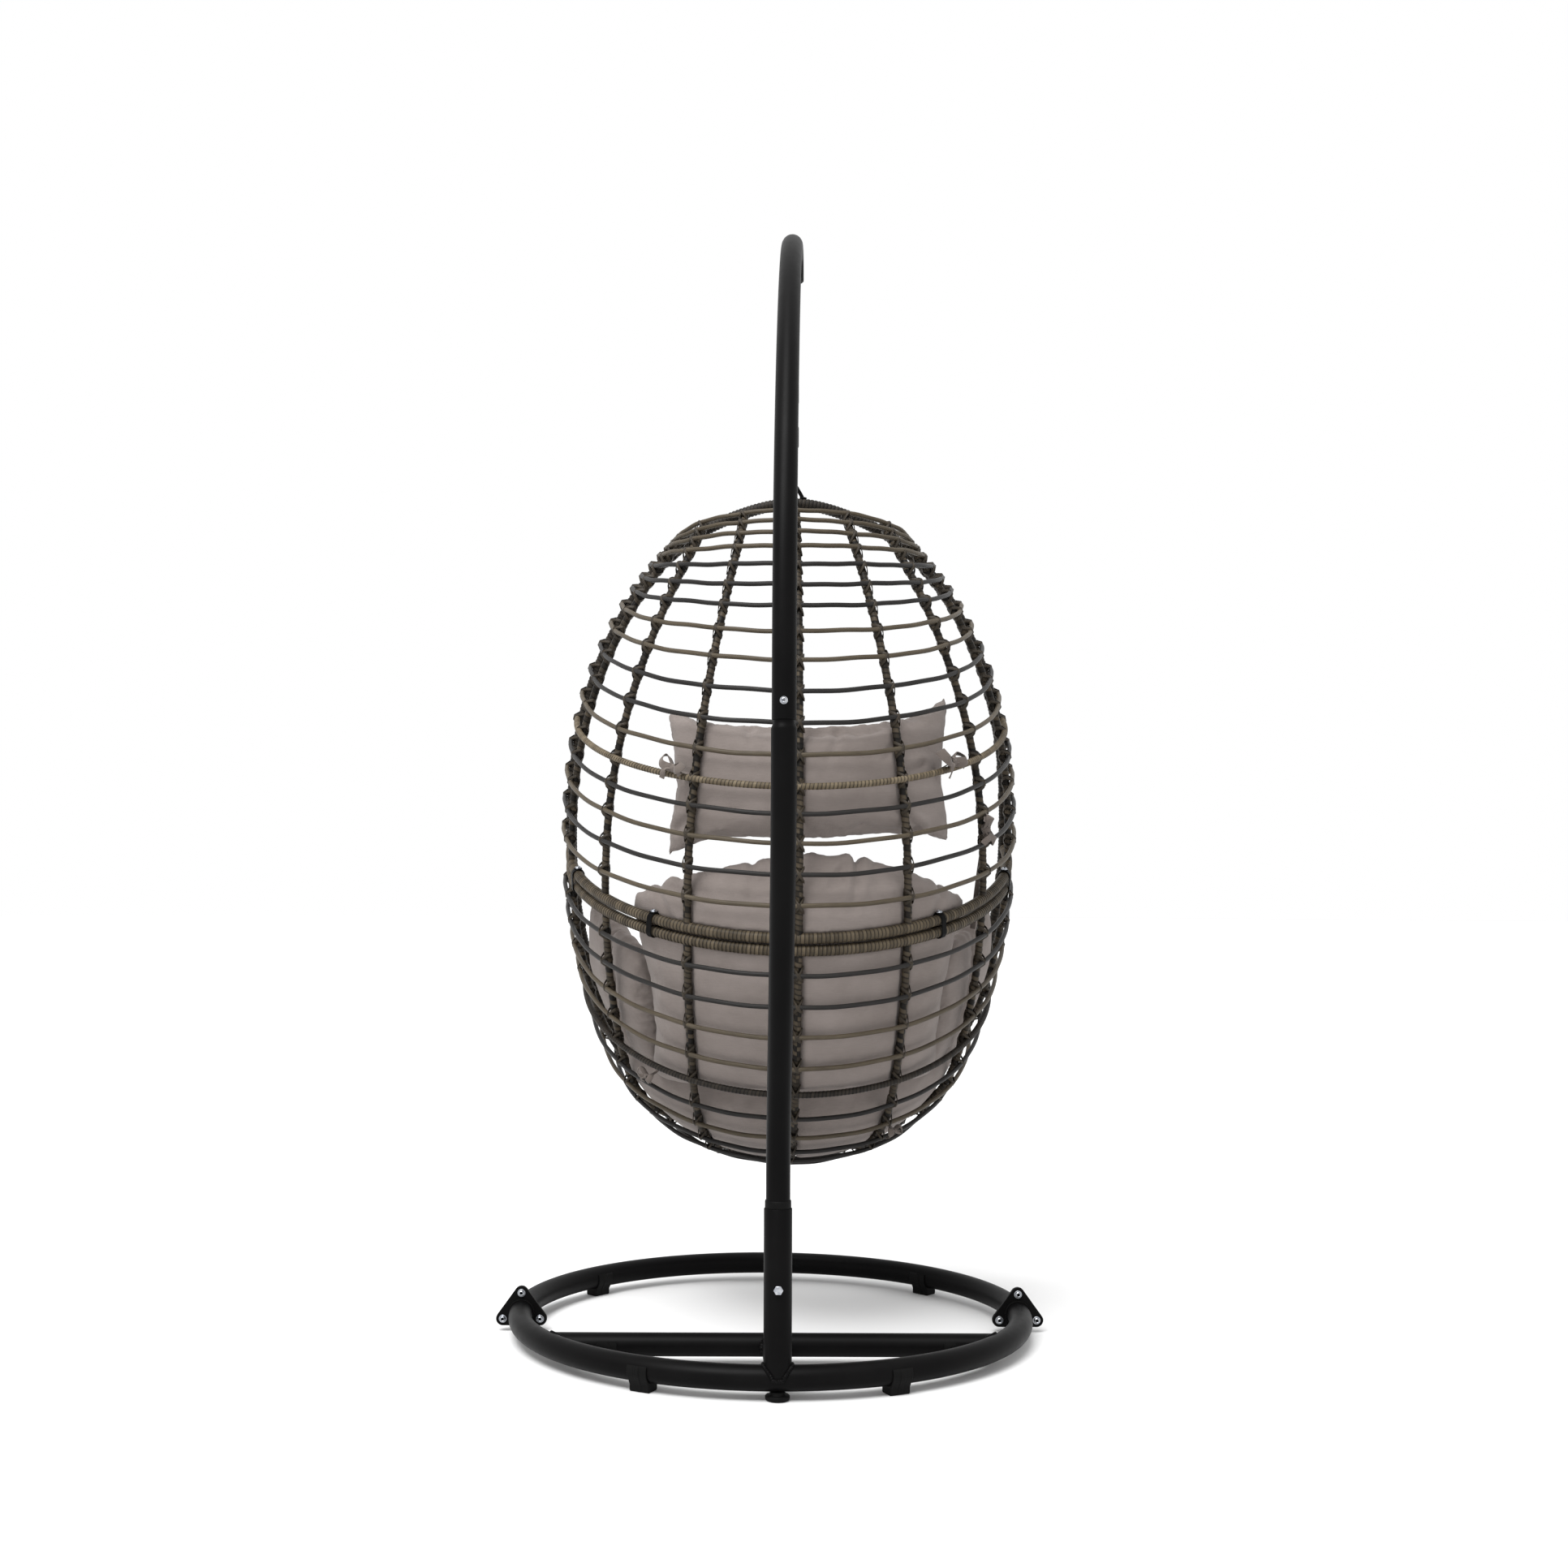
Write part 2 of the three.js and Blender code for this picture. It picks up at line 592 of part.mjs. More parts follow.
const backLength = BACK.getLength();
const hoopLength = HOOP.getLength();
const FIRST_SLAT = 108;        // along the back from the apex
const FIRST_SLAT_SIDE = 222;   // along the hoop from the apex
const LAST_SLAT = 872;
const LAST_SLAT_SIDE = 822;
const UPPER_RIM = 921;
const UPPER_RIM_SIDE = 859;
const LOWER_RIM = UPPER_RIM + RIM_SPACING;
const LOWER_RIM_SIDE = UPPER_RIM_SIDE + RIM_SPACING + 4;

// One level round the basket: its point on the hoop's side and its point on the back.
function level(alongBack, alongSide) {
  const back = BACK.getPointAt(Math.min(1, alongBack / backLength));
  const side = HOOP.getPointAt(Math.min(0.5, alongSide / hoopLength));
  return { back, side };
}

function levelPoint({ back, side }, angle, target = new THREE.Vector3()) {
  const across = Math.sin(angle);
  const behind = Math.cos(angle);
  return target.set(
    side.x * across,
    side.y + (back.y - side.y) * behind,
    side.z + (back.z - side.z) * behind,
  );
}

class LevelCurve extends THREE.Curve {
  constructor(row) {
    super();
    this.row = row;
  }

  getPoint(t, target = new THREE.Vector3()) {
    return levelPoint(this.row, (t - 0.5) * Math.PI, target);
  }
}

// Slats lie evenly down the back, and crowd together towards the top of the hoop.
function upperLevel(fraction) {
  const alongBack = FIRST_SLAT + (LAST_SLAT - FIRST_SLAT) * fraction;
  const alongSide = FIRST_SLAT_SIDE + (LAST_SLAT_SIDE - FIRST_SLAT_SIDE) * fraction ** 1.45;
  return level(alongBack, alongSide);
}

function lowerLevel(fraction) {
  const alongBack = LOWER_RIM + (backLength - LOWER_RIM) * fraction;
  const alongSide = LOWER_RIM_SIDE + (hoopLength / 2 - LOWER_RIM_SIDE) * fraction;
  return level(alongBack, alongSide);
}

const rimLevel = (upper) => (upper ? level(UPPER_RIM, UPPER_RIM_SIDE) : level(LOWER_RIM, LOWER_RIM_SIDE));

function band(row, radius) {
  return tubeAlong(new LevelCurve(row), 12, roundSection(radius, 5));
}

// The hoop's point that lies x to the side, near its apex or near its lowest point.
function hoopPointBeside(x, nearApex) {
  const start = nearApex ? 0 : hoopLength / 2;
  const step = nearApex ? 4 : -4;
  const point = HOOP.getPointAt(start / hoopLength);
  for (let along = start; point.x < Math.abs(x); along += step) {
    HOOP.getPointAt(along / hoopLength, point);
  }
  return new THREE.Vector3(x, point.y, point.z);
}

function upperRib(angle) {
  const points = [];
  for (let i = 0; i <= 8; i += 1) {
    points.push(levelPoint(upperLevel(i / 8), angle));
  }
  points.unshift(hoopPointBeside(points[0].x * 1.05, true));
  points.push(levelPoint(rimLevel(true), angle));
  return tubeAlong(new THREE.CatmullRomCurve3(points), 9, roundSection(RIB_TUBE, 5));
}

// Towards the bottom the ribs spread apart, so that they meet the hoop side by side.
function lowerRib(angle) {
  const points = [levelPoint(rimLevel(false), angle)];
  for (let i = 1; i <= 8; i += 1) {
    const fraction = (0.92 * i) / 8;
    const spread = Math.sign(angle) * Math.min(Math.abs(angle) * (1 + 0.4 * fraction ** 2), degrees(84));
    points.push(levelPoint(lowerLevel(fraction), spread));
  }
  points.push(hoopPointBeside(points.at(-1).x * 1.05, false));
  return tubeAlong(new THREE.CatmullRomCurve3(points), 9, roundSection(RIB_TUBE, 5));
}

function hoopPart(upper, radius, sides) {
  const middle = (UPPER_RIM_SIDE + LOWER_RIM_SIDE) / 2;
  const split = (middle + (upper ? -0.2 : 0.2)) / hoopLength;
  const path = upper ? new Portion(HOOP, -split, split) : new Portion(HOOP, split, 1 - split);
  return tubeAlong(path, 24, roundSection(radius, sides));
}

function rimTube(upper, radius, sides) {
  return tubeAlong(new LevelCurve(rimLevel(upper)), 24, roundSection(radius, sides));
}

function addBasketFrame() {
  for (const upper of [true, false]) {
    const name = upper ? 'upper' : 'lower';
    part(`hoop_${name}`, hoopPart(upper, HOOP_TUBE, 8), DARK_WICKER, basket);
    const rim = cut(rimTube(upper, RIM_TUBE, 8), hoopPart(upper, HOOP_TUBE + GAP, 8));
    part(`rim_${name}`, rim, DARK_WICKER, basket);
  }
}

// The welded skeleton of each half: seven ribs crossed by one band, cut clear of the hoop and the rim.
function addRibs() {
  for (const upper of [true, false]) {
    const ribs = RIB_ANGLES.map((angle) => (upper ? upperRib(degrees(angle)) : lowerRib(degrees(angle))));
    const row = upper
      ? upperLevel((UPPER_BAND / (UPPER_SLATS - 1)) ** UPPER_CROWDING)
      : lowerLevel((LOWER_BAND - LOWER_LEAD) / LOWER_SLATS);
    const cutters = [hoopPart(upper, HOOP_TUBE + GAP, 8), rimTube(upper, RIM_TUBE + GAP, 8)];
    const name = upper ? 'ribs_upper' : 'ribs_lower';
    part(name, cut(join(...ribs, band(row, BAND_TUBE)), ...cutters), DARK_WICKER, basket);
  }
}

// A point of the woven skin, pushed out square to the surface of the ribs.
function skinPoint(levelAt, fraction, angle, outset) {
  const step = 0.004;
  const point = levelPoint(levelAt(fraction), angle);
  const down = levelPoint(levelAt(Math.min(1, fraction + step)), angle);
  const up = levelPoint(levelAt(Math.max(0, fraction - step)), angle);
  const right = levelPoint(levelAt(fraction), angle + step);
  const left = levelPoint(levelAt(fraction), angle - step);
  const outward = right.sub(left).cross(down.sub(up)).normalize();
  return point.addScaledVector(outward, outset);
}

// A closed sheet that follows the basket: its inner face, its outer face and the strips round its edge.
function sheet(levelAt, fractions, columns, outsets) {
  const width = columns.length;
  const faceSize = fractions.length * width;
  const positions = [];
  for (const outset of outsets) {
    for (const fraction of fractions) {
      for (const angle of columns) {
        positions.push(...skinPoint(levelAt, fraction, degrees(angle), outset).toArray());
      }
    }
  }
  const index = [];
  const quad = (a, b, c, d) => index.push(a, b, c, a, c, d);
  for (let row = 0; row + 1 < fractions.length; row += 1) {
    for (let column = 0; column + 1 < width; column += 1) {
      const a = row * width + column;
      quad(a, a + width, a + width + 1, a + 1);
      quad(faceSize + a, faceSize + a + 1, faceSize + a + width + 1, faceSize + a + width);
    }
    const start = row * width;
    for (const [a, b] of [[start + width, start], [start + width - 1, start + 2 * width - 1]]) {
      quad(a, b, faceSize + b, faceSize + a);
    }
  }
  const lastRow = faceSize - width;
  for (let column = 0; column + 1 < width; column += 1) {
    quad(column, column + 1, faceSize + column + 1, faceSize + column);
    const a = lastRow + column;
    quad(a + 1, a, faceSize + a, faceSize + a + 1);
  }
  const geometry = new THREE.BufferGeometry();
  geometry.setAttribute('position', new THREE.Float32BufferAttribute(positions, 3));
  geometry.setIndex(index);
  geometry.computeVertexNormals();
  return geometry;
}

// The woven slats of each half, as a closed skin just outside the ribs.
function addWeave() {
  const upperRows = [0, 0.1, 0.2, 0.32, 0.44, 0.58, 0.72, 0.86, 1];
  const rows = [1, 2.4, 3.8, 5.2, 6.6, 8, 9.4, 10.8, 12.2, 13.4];
  const lowerRows = rows.map((row) => (0.92 * row) / LOWER_SLATS);
  const columns = [-SKIN_EDGE];
  for (let i = 1; i < RIB_ANGLES.length; i += 1) {
    columns.push(RIB_ANGLES[i - 1], (RIB_ANGLES[i - 1] + RIB_ANGLES[i]) / 2);
  }
  columns.push(RIB_ANGLES.at(-1), SKIN_EDGE);
  part('weave_upper', sheet(upperLevel, upperRows, columns, SKIN_OUTSETS), TAUPE_WICKER, basket);
  part('weave_lower', sheet(lowerLevel, lowerRows, columns, SKIN_OUTSETS), TAUPE_WICKER, basket);
}

// Black clamps round both rims: a flat band with a screw head on top.
function addRimClamps() {
  const inner = RIM_TUBE + 2 * GAP;
  const outer = inner + 3;
  const width = 12;
  const cutters = [true, false].map((upper) => rimTube(upper, RIM_TUBE + 1.5 * GAP, 8));
  RIM_CLAMP_ANGLES.forEach((degreesRound, index) => {
    const angle = degrees(degreesRound);
    const top = levelPoint(rimLevel(true), angle);
    const bottom = levelPoint(rimLevel(false), angle);
    const before = levelPoint(rimLevel(true), angle - 0.01);
    const along = levelPoint(rimLevel(true), angle + 0.01).sub(before).normalize();
    const upward = top.clone().sub(bottom);
    const half = upward.length() / 2;
    const outline = (radius) => {
      const shape = new THREE.Shape();
      shape.absarc(0, half, radius, 0, Math.PI, false);
      shape.absarc(0, -half, radius, Math.PI, 2 * Math.PI, false);
      return shape;
    };
    const loop = outline(outer);
    loop.holes.push(new THREE.Path(outline(inner).getPoints(4).reverse()));
    const strap = new THREE.ExtrudeGeometry(loop, { depth: width, bevelEnabled: false, curveSegments: 4 });
    strap.translate(0, 0, -width / 2);
    const screw = turned([[0, 0], [5, 0], [5, 2.5], [3, 4], [0, 4]], 8);
    screw.translate(0, half + outer - 0.5, 0);
    upward.addScaledVector(along, -upward.dot(along)).normalize();
    const frame = new THREE.Matrix4().makeBasis(upward.clone().cross(along), upward, along);
    frame.setPosition(top.add(bottom).multiplyScalar(0.5));
    const clamp = join(strap, screw).applyMatrix4(frame);
    part(`rim_clamp_${index + 1}`, cut(clamp, ...cutters), BLACK_STEEL, basket);
  });
}

// The loop on the hoop's apex that the carabiner hooks through.
function addHangingLoop() {
  const crown = loopTop - hoopApex;
  const foot = HOOP_TUBE + LOOP_WIRE * 0.4;
  const points = [
    [-LOOP_HALF_WIDTH, 0, foot - 14], [-LOOP_HALF_WIDTH + 5, 0, foot], [-LOOP_HALF_WIDTH + 12, 0, crown - 9],
    [-4.5, 0, crown - 1.2], [4.5, 0, crown - 1.2], [LOOP_HALF_WIDTH - 12, 0, crown - 9],
    [LOOP_HALF_WIDTH - 5, 0, foot], [LOOP_HALF_WIDTH, 0, foot - 14],
  ];
  const wire = tubeAlong(new THREE.CatmullRomCurve3(points.map(vector)), 14, roundSection(LOOP_WIRE, 6));
  part('basket_loop', cut(wire, hoopPart(true, HOOP_TUBE + GAP, 8)), BLACK_STEEL, basket);
}

// ---------------------------------------------------------------- cushions

// Points on the basket's inner side in the seat's region, each pushed inwards by its own depth.
function seatPoints(depthAt) {
  const points = [];
  for (let i = 0; i <= 10; i += 1) {
    const [levelAt, fraction] = i < 3 ? [upperLevel, 0.82 + 0.06 * i] : [lowerLevel, (i - 3) / 7.6];
    for (let angle = -78; angle <= 78; angle += 13) {
      points.push(skinPoint(levelAt, fraction, degrees(angle), -depthAt(i < 3 ? 0 : fraction)));
    }
  }
  return points;
}

// A thick bowl that follows the basket, open to the front, with a domed top edge.
function addSeatCushion() {
  const filling = solidOf(new ConvexGeometry(seatPoints(() => SEAT_CLEARANCE)));
  const thickness = (fraction) => THREE.MathUtils.lerp(SEAT_WALL, SEAT_FLOOR, fraction ** 1.5);
  const hollow = seatPoints((fraction) => SEAT_CLEARANCE + thickness(fraction));
  const moved = (y, z) => hollow.map((point) => point.clone().add(new THREE.Vector3(0, y, z)));
  const room = solidOf(new ConvexGeometry([...hollow, ...moved(-450, 10), ...moved(-100, 450)]));
  const crownRadius = 1100;
  const crown = new THREE.SphereGeometry(crownRadius, 40, 40);
  crown.translate(0, 150, -640 - crownRadius);
  part('seat_cushion', geometryOf(filling.intersect(solidOf(crown)).subtract(room)), GREY_FABRIC, basket);
}

function addHeadPillow() {
  const rows = [0, 1 / 3, 2 / 3, 1].map((t) => THREE.MathUtils.lerp(PILLOW_TOP, PILLOW_BOTTOM, t));
  const columns = [-1, -0.6, -0.2, 0.2, 0.6, 1].map((t) => t * PILLOW_EDGE);
  part('head_pillow', sheet(upperLevel, rows, columns, PILLOW_DEPTHS), GREY_FABRIC, basket);
}

// ---------------------------------------------------------------- assembly

addRing();
addFlanges();
addCrossbar();
addFeet();
addSocket();
addSocketBolt();
addLowerPost();
addArm();
addTipFittings();
addChain();
addCarabiner();
addBasketFrame();
addRibs();
addWeave();
addRimClamps();
addHangingLoop();
addSeatCushion();
addHeadPillow();

const chair = new THREE.Group();
chair.name = 'hanging_egg_chair';
chair.add(base, stand, arm, hanger, basket);

// The footprint's middle becomes the origin.
const extent = new THREE.Box3().setFromObject(chair, true);
chair.position.set(-(extent.min.x + extent.max.x) / 2, -(extent.min.y + extent.max.y) / 2, 0);

export default chair;
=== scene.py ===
"""The looks of a hanging egg chair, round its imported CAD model. Metres, +Z up, open front towards -Y."""

import json
import math

import bpy
import numpy as np
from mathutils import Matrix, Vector
from mathutils.kdtree import KDTree


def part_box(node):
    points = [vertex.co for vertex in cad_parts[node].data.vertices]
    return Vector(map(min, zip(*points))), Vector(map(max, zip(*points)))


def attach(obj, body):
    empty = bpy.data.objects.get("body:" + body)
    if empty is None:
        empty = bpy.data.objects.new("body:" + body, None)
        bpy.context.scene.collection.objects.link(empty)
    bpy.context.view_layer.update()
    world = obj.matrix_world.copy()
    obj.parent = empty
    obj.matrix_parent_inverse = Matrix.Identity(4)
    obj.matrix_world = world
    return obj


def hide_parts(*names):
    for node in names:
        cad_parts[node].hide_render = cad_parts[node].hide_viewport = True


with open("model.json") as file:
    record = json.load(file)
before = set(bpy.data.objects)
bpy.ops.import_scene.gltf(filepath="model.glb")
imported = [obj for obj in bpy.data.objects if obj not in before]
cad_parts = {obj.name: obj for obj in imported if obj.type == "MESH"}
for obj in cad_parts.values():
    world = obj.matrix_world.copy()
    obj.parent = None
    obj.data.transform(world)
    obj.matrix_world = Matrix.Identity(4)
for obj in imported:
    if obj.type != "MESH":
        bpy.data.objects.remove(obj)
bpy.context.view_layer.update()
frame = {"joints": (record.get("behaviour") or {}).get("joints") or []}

PIVOT = {joint["name"]: np.array(joint.get("pos_m", (0, 0, 0))) for joint in frame["joints"]}
HANG_X, HANG_Y = PIVOT["basket_roll"][:2]
X, Y, Z = np.eye(3)


def box_middle(node):
    low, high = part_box(node)
    return np.array((low + high) / 2)


# ---------------------------------------------------------------- camera, floor and light


def make_camera():
    """Behind the chair, 0.8 m above the floor, level and square to it, with a shifted lens."""
    data = bpy.data.cameras.new("camera")
    data.sensor_width = 36
    data.lens = 41.96
    data.shift_x = 0.0414
    data.shift_y = 0.0704
    data.clip_end = 100
    camera = bpy.data.objects.new("camera", data)
    camera.location = (0.095, 3.247, 0.8)
    camera.rotation_euler = (math.pi / 2, -0.0033, math.pi)
    bpy.context.scene.collection.objects.link(camera)
    bpy.context.scene.camera = camera


def area_light(name, place, size, power, target=(0, 0, 0.9)):
    data = bpy.data.lights.new(name, "AREA")
    data.shape = "DISK"
    data.size = size
    data.energy = power
    light = bpy.data.objects.new(name, data)
    light.location = place
    light.rotation_euler = (Vector(place) - Vector(target)).to_track_quat("Z", "Y").to_euler()
    bpy.context.scene.collection.objects.link(light)


def sun_light(name, towards, strength, spread):
    """Even light from far away; a wide spread makes its shadows soft."""
    data = bpy.data.lights.new(name, "SUN")
    data.energy = strength
    data.angle = math.radians(spread)
    light = bpy.data.objects.new(name, data)
    light.location = towards
    light.rotation_euler = Vector(towards).to_track_quat("Z", "Y").to_euler()
    bpy.context.scene.collection.objects.link(light)


# ---------------------------------------------------------------- lines through space


class Route:
    """A smooth line, read by the length along it."""

    def __init__(self, points):
        self.points = np.asarray(points, float)
        steps = np.linalg.norm(np.diff(self.points, axis=0), axis=1)
        self.marks = np.concatenate([[0], np.cumsum(steps)])
        self.length = self.marks[-1]

    def at(self, along):
        return np.stack([np.interp(along, self.marks, self.points[:, k]) for k in range(3)], axis=-1)


def through(points, closed=False, per_span=60):
    """A centripetal Catmull-Rom line through the points, as many short steps."""
    points = np.asarray(points, float)
    if closed:
        extended = np.vstack([points[-1:], points, points[:2]])
    else:
        extended = np.vstack([2 * points[:1] - points[1:2], points, 2 * points[-1:] - points[-2:-1]])
    t = np.linspace(0, 1, per_span, endpoint=False)[:, None]
    spans = []
    for p0, p1, p2, p3 in zip(extended, extended[1:], extended[2:], extended[3:]):
        d0, d1, d2 = (np.linalg.norm(b - a) ** 0.5 for a, b in ((p0, p1), (p1, p2), (p2, p3)))
        leave = ((p1 - p0) / d0 - (p2 - p0) / (d0 + d1) + (p2 - p1) / d1) * d1
        arrive = ((p2 - p1) / d1 - (p3 - p1) / (d1 + d2) + (p3 - p2) / d2) * d1
        square = 3 * (p2 - p1) - 2 * leave - arrive
        cube = 2 * (p1 - p2) + leave + arrive
        spans.append(p1 + leave * t + square * t**2 + cube * t**3)
    spans.append(extended[-2][None])
    return np.vstack(spans)


def bezier(p0, p1, p2, p3, count):
    t = np.linspace(0, 1, count)[:, None]
    p0, p1, p2, p3 = (np.asarray(p, float) for p in (p0, p1, p2, p3))
    return (1 - t) ** 3 * p0 + 3 * t * (1 - t) ** 2 * p1 + 3 * t**2 * (1 - t) * p2 + t**3 * p3


def line(start, end, count):
    t = np.linspace(0, 1, count)[:, None]
    return (1 - t) * np.asarray(start, float) + t * np.asarray(end, float)


def arc(centre, across, up, radius, start, end, count):
    """Points on a circle in the plane of two unit vectors, angles in radians."""
    angles = np.linspace(start, end, count)[:, None]
    return np.asarray(centre) + radius * (np.cos(angles) * across + np.sin(angles) * up)


def unit(vectors):
    return vectors / np.linalg.norm(vectors, axis=-1, keepdims=True)


def smoothstep(x):
    x = np.clip(x, 0, 1)
    return x * x * (3 - 2 * x)


# ---------------------------------------------------------------- meshes


def loft(rings, closed=False, caps=True, around=True):
    """Faces between rings of points, with strip coordinates: metres along, and turns around."""
    rings = np.asarray(rings, float)
    count, sides = rings.shape[:2]
    middle = rings.mean(axis=1)
    steps = np.linalg.norm(np.diff(middle, axis=0), axis=1)
    along = np.concatenate([[0], np.cumsum(steps)])
    rows = np.arange(count if closed else count - 1)
    columns = np.arange(sides if around else sides - 1)
    row, column = (grid.ravel() for grid in np.meshgrid(rows, columns, indexing="ij"))
    next_row, next_column = (row + 1) % count, (column + 1) % sides
    quads = np.stack([
        row * sides + column,
        row * sides + next_column,
        next_row * sides + next_column,
        next_row * sides + column,
    ], 1)
    end = np.append(along, along[-1] + (along[1] - along[0]))
    u0, u1, v0, v1 = end[row], end[row + 1], column / sides, (column + 1) / sides
    quad_uv = np.stack([np.stack(pair, 1) for pair in ((u0, v0), (u0, v1), (u1, v1), (u1, v0))], 1)
    points = rings.reshape(-1, 3)
    triangles = np.zeros((0, 3), int)
    if caps and around and not closed:
        points = np.vstack([points, middle[:1], middle[-1:]])
        first, last = count * sides, count * sides + 1
        side, following = np.arange(sides), (np.arange(sides) + 1) % sides
        offset = (count - 1) * sides
        triangles = np.vstack([
            np.stack([np.full(sides, first), following, side], 1),
            np.stack([np.full(sides, last), offset + side, offset + following], 1),
        ])
    return points, quads, quad_uv, triangles


def build(name, patches, material, body, replaces=(), smooth_angle=40):
    """One mesh object from several lofts, riding on a CAD body."""
    points, loops, starts, totals, uvs = [], [], [], [], []
    base = loop = 0
    for patch_points, quads, quad_uv, triangles in patches:
        points.append(patch_points)
        for faces, face_uv in ((quads, quad_uv), (triangles, np.zeros((len(triangles), 3, 2)))):
            sides = faces.shape[1]
            loops.append((faces + base).ravel())
            starts.append(loop + sides * np.arange(len(faces)))
            totals.append(np.full(len(faces), sides))
            uvs.append(face_uv.reshape(-1, 2))
            loop += faces.size
        base += len(patch_points)
    mesh = bpy.data.meshes.new(name)
    points, loops = np.vstack(points), np.concatenate(loops)
    starts, totals = np.concatenate(starts), np.concatenate(totals)
    mesh.vertices.add(len(points))
    mesh.vertices.foreach_set("co", points.astype(np.float32).ravel())
    mesh.loops.add(len(loops))
    mesh.loops.foreach_set("vertex_index", loops.astype(np.int32))
    mesh.polygons.add(len(starts))
    mesh.polygons.foreach_set("loop_start", starts.astype(np.int32))
    mesh.polygons.foreach_set("loop_total", totals.astype(np.int32))
    strip = mesh.uv_layers.new(name="strip")
    strip.data.foreach_set("uv", np.vstack(uvs).astype(np.float32).ravel())
    mesh.update(calc_edges=True)
    mesh.polygons.foreach_set("use_smooth", np.ones(len(starts), bool))
    mesh.set_sharp_from_angle(angle=math.radians(smooth_angle))
    mesh.materials.append(material)
    piece = bpy.data.objects.new(name, mesh)
    bpy.context.scene.collection.objects.link(piece)
    place_piece(piece, body, replaces)


def place_piece(piece, body, replaces=()):
    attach(piece, body)
    if replaces:
        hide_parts(*replaces)


def tangents_of(points, closed=False):
    if closed:
        return unit(np.roll(points, -1, axis=0) - np.roll(points, 1, axis=0))
    return unit(np.gradient(points, axis=0))


def sections(centres, reference, closed=False):
    """Two directions square to a line at each of its points; the first lies towards the reference."""
    tangents = tangents_of(centres, closed)
    reference = np.broadcast_to(reference, centres.shape)
    normal = unit(reference - (reference * tangents).sum(1, keepdims=True) * tangents)
    return normal, np.cross(tangents, normal)


def tube(centres, radii, sides=24, reference=Z, closed=False, caps=True):
    """A round tube. The radii are one number, one for each centre, or one for each centre and side."""
    centres = np.asarray(centres, float)
    normal, side = sections(centres, reference, closed)
    angles = 2 * np.pi * np.arange(sides) / sides
    radii = np.asarray(radii, float)
    if radii.ndim == 1:
        radii = radii[:, None]
    ring = np.cos(angles)[:, None] * normal[:, None, :] + np.sin(angles)[:, None] * side[:, None, :]
    radii = np.broadcast_to(radii, (len(centres), sides))
    return loft(centres[:, None, :] + radii[..., None] * ring, closed, caps)


def strap(centres, width, thickness, reference, closed=False):
    """A flat strip with softened edges; its flat side faces the reference."""
    centres = np.asarray(centres, float)
    normal, side = sections(centres, reference, closed)
    w, t = width / 2, thickness / 2
    outline = [(-w, 0), (-0.8 * w, t), (0.8 * w, t), (w, 0), (0.8 * w, -t), (-0.8 * w, -t)]
    rings = [centres + across * side + out * normal for across, out in outline]
    return loft(np.stack(rings, 1), closed)


def spun(profile, base, axis=Z, sides=32, six_sided=()):
    """A turned shape: radius and height pairs from a base along an axis. Listed rows are hexagons."""
    axis = unit(np.asarray(axis, float))
    across = unit(np.cross(axis, X if abs(axis[0]) < 0.9 else Y))
    other = np.cross(axis, across)
    angles = 2 * np.pi * np.arange(sides) / sides
    hexagon = 1 / np.cos((angles + np.pi / 6) % (np.pi / 3) - np.pi / 6)
    rings = []
    for row, (radius, height) in enumerate(profile):
        spread = radius * (hexagon if row in six_sided else 1) * np.ones(sides)
        ring = np.cos(angles)[:, None] * across + np.sin(angles)[:, None] * other
        rings.append(np.asarray(base) + height * axis + spread[:, None] * ring)
    return loft(rings)


def prism(outline, centre, across, up, depth, bevel):
    """A plate: an outline in the plane of two unit vectors, extruded square to it, with bevelled edges."""
    outline = np.asarray(outline, float)
    along = tangents_of(outline, closed=True)
    inward = np.stack([-along[:, 1], along[:, 0]], 1)
    normal = np.cross(across, up)
    rings = []
    half = depth / 2
    for inset, height in ((bevel, -half), (0, bevel - half), (0, half - bevel), (bevel, half)):
        flat = outline + inset * inward
        rings.append(np.asarray(centre) + flat[:, :1] * across + flat[:, 1:] * up + height * normal)
    return loft(rings)


def bead(points, radius=0.0028, closed=False):
    """A rippled weld bead."""
    length = Route(points).length
    count = max(16, int(length / 0.0008))
    route = Route(points)
    centres = route.at(np.linspace(0, length, count, endpoint=not closed))
    ripple = 1 + 0.14 * np.sin(2 * np.pi * np.linspace(0, round(length / 0.0035), count, endpoint=not closed))
    return tube(centres, radius * ripple, 8, Z + 0.13 * X + 0.07 * Y, closed)


# ---------------------------------------------------------------- materials

# The wicker wound round a tube: how far it gets along the tube in one turn, and how much it leans.
WOUND_PITCH = 0.0068
RIM_PITCH, RIM_LEAN = 0.0070, 0.2
RIB_PITCH = 0.0095
ROWS_PER_TURN = 4


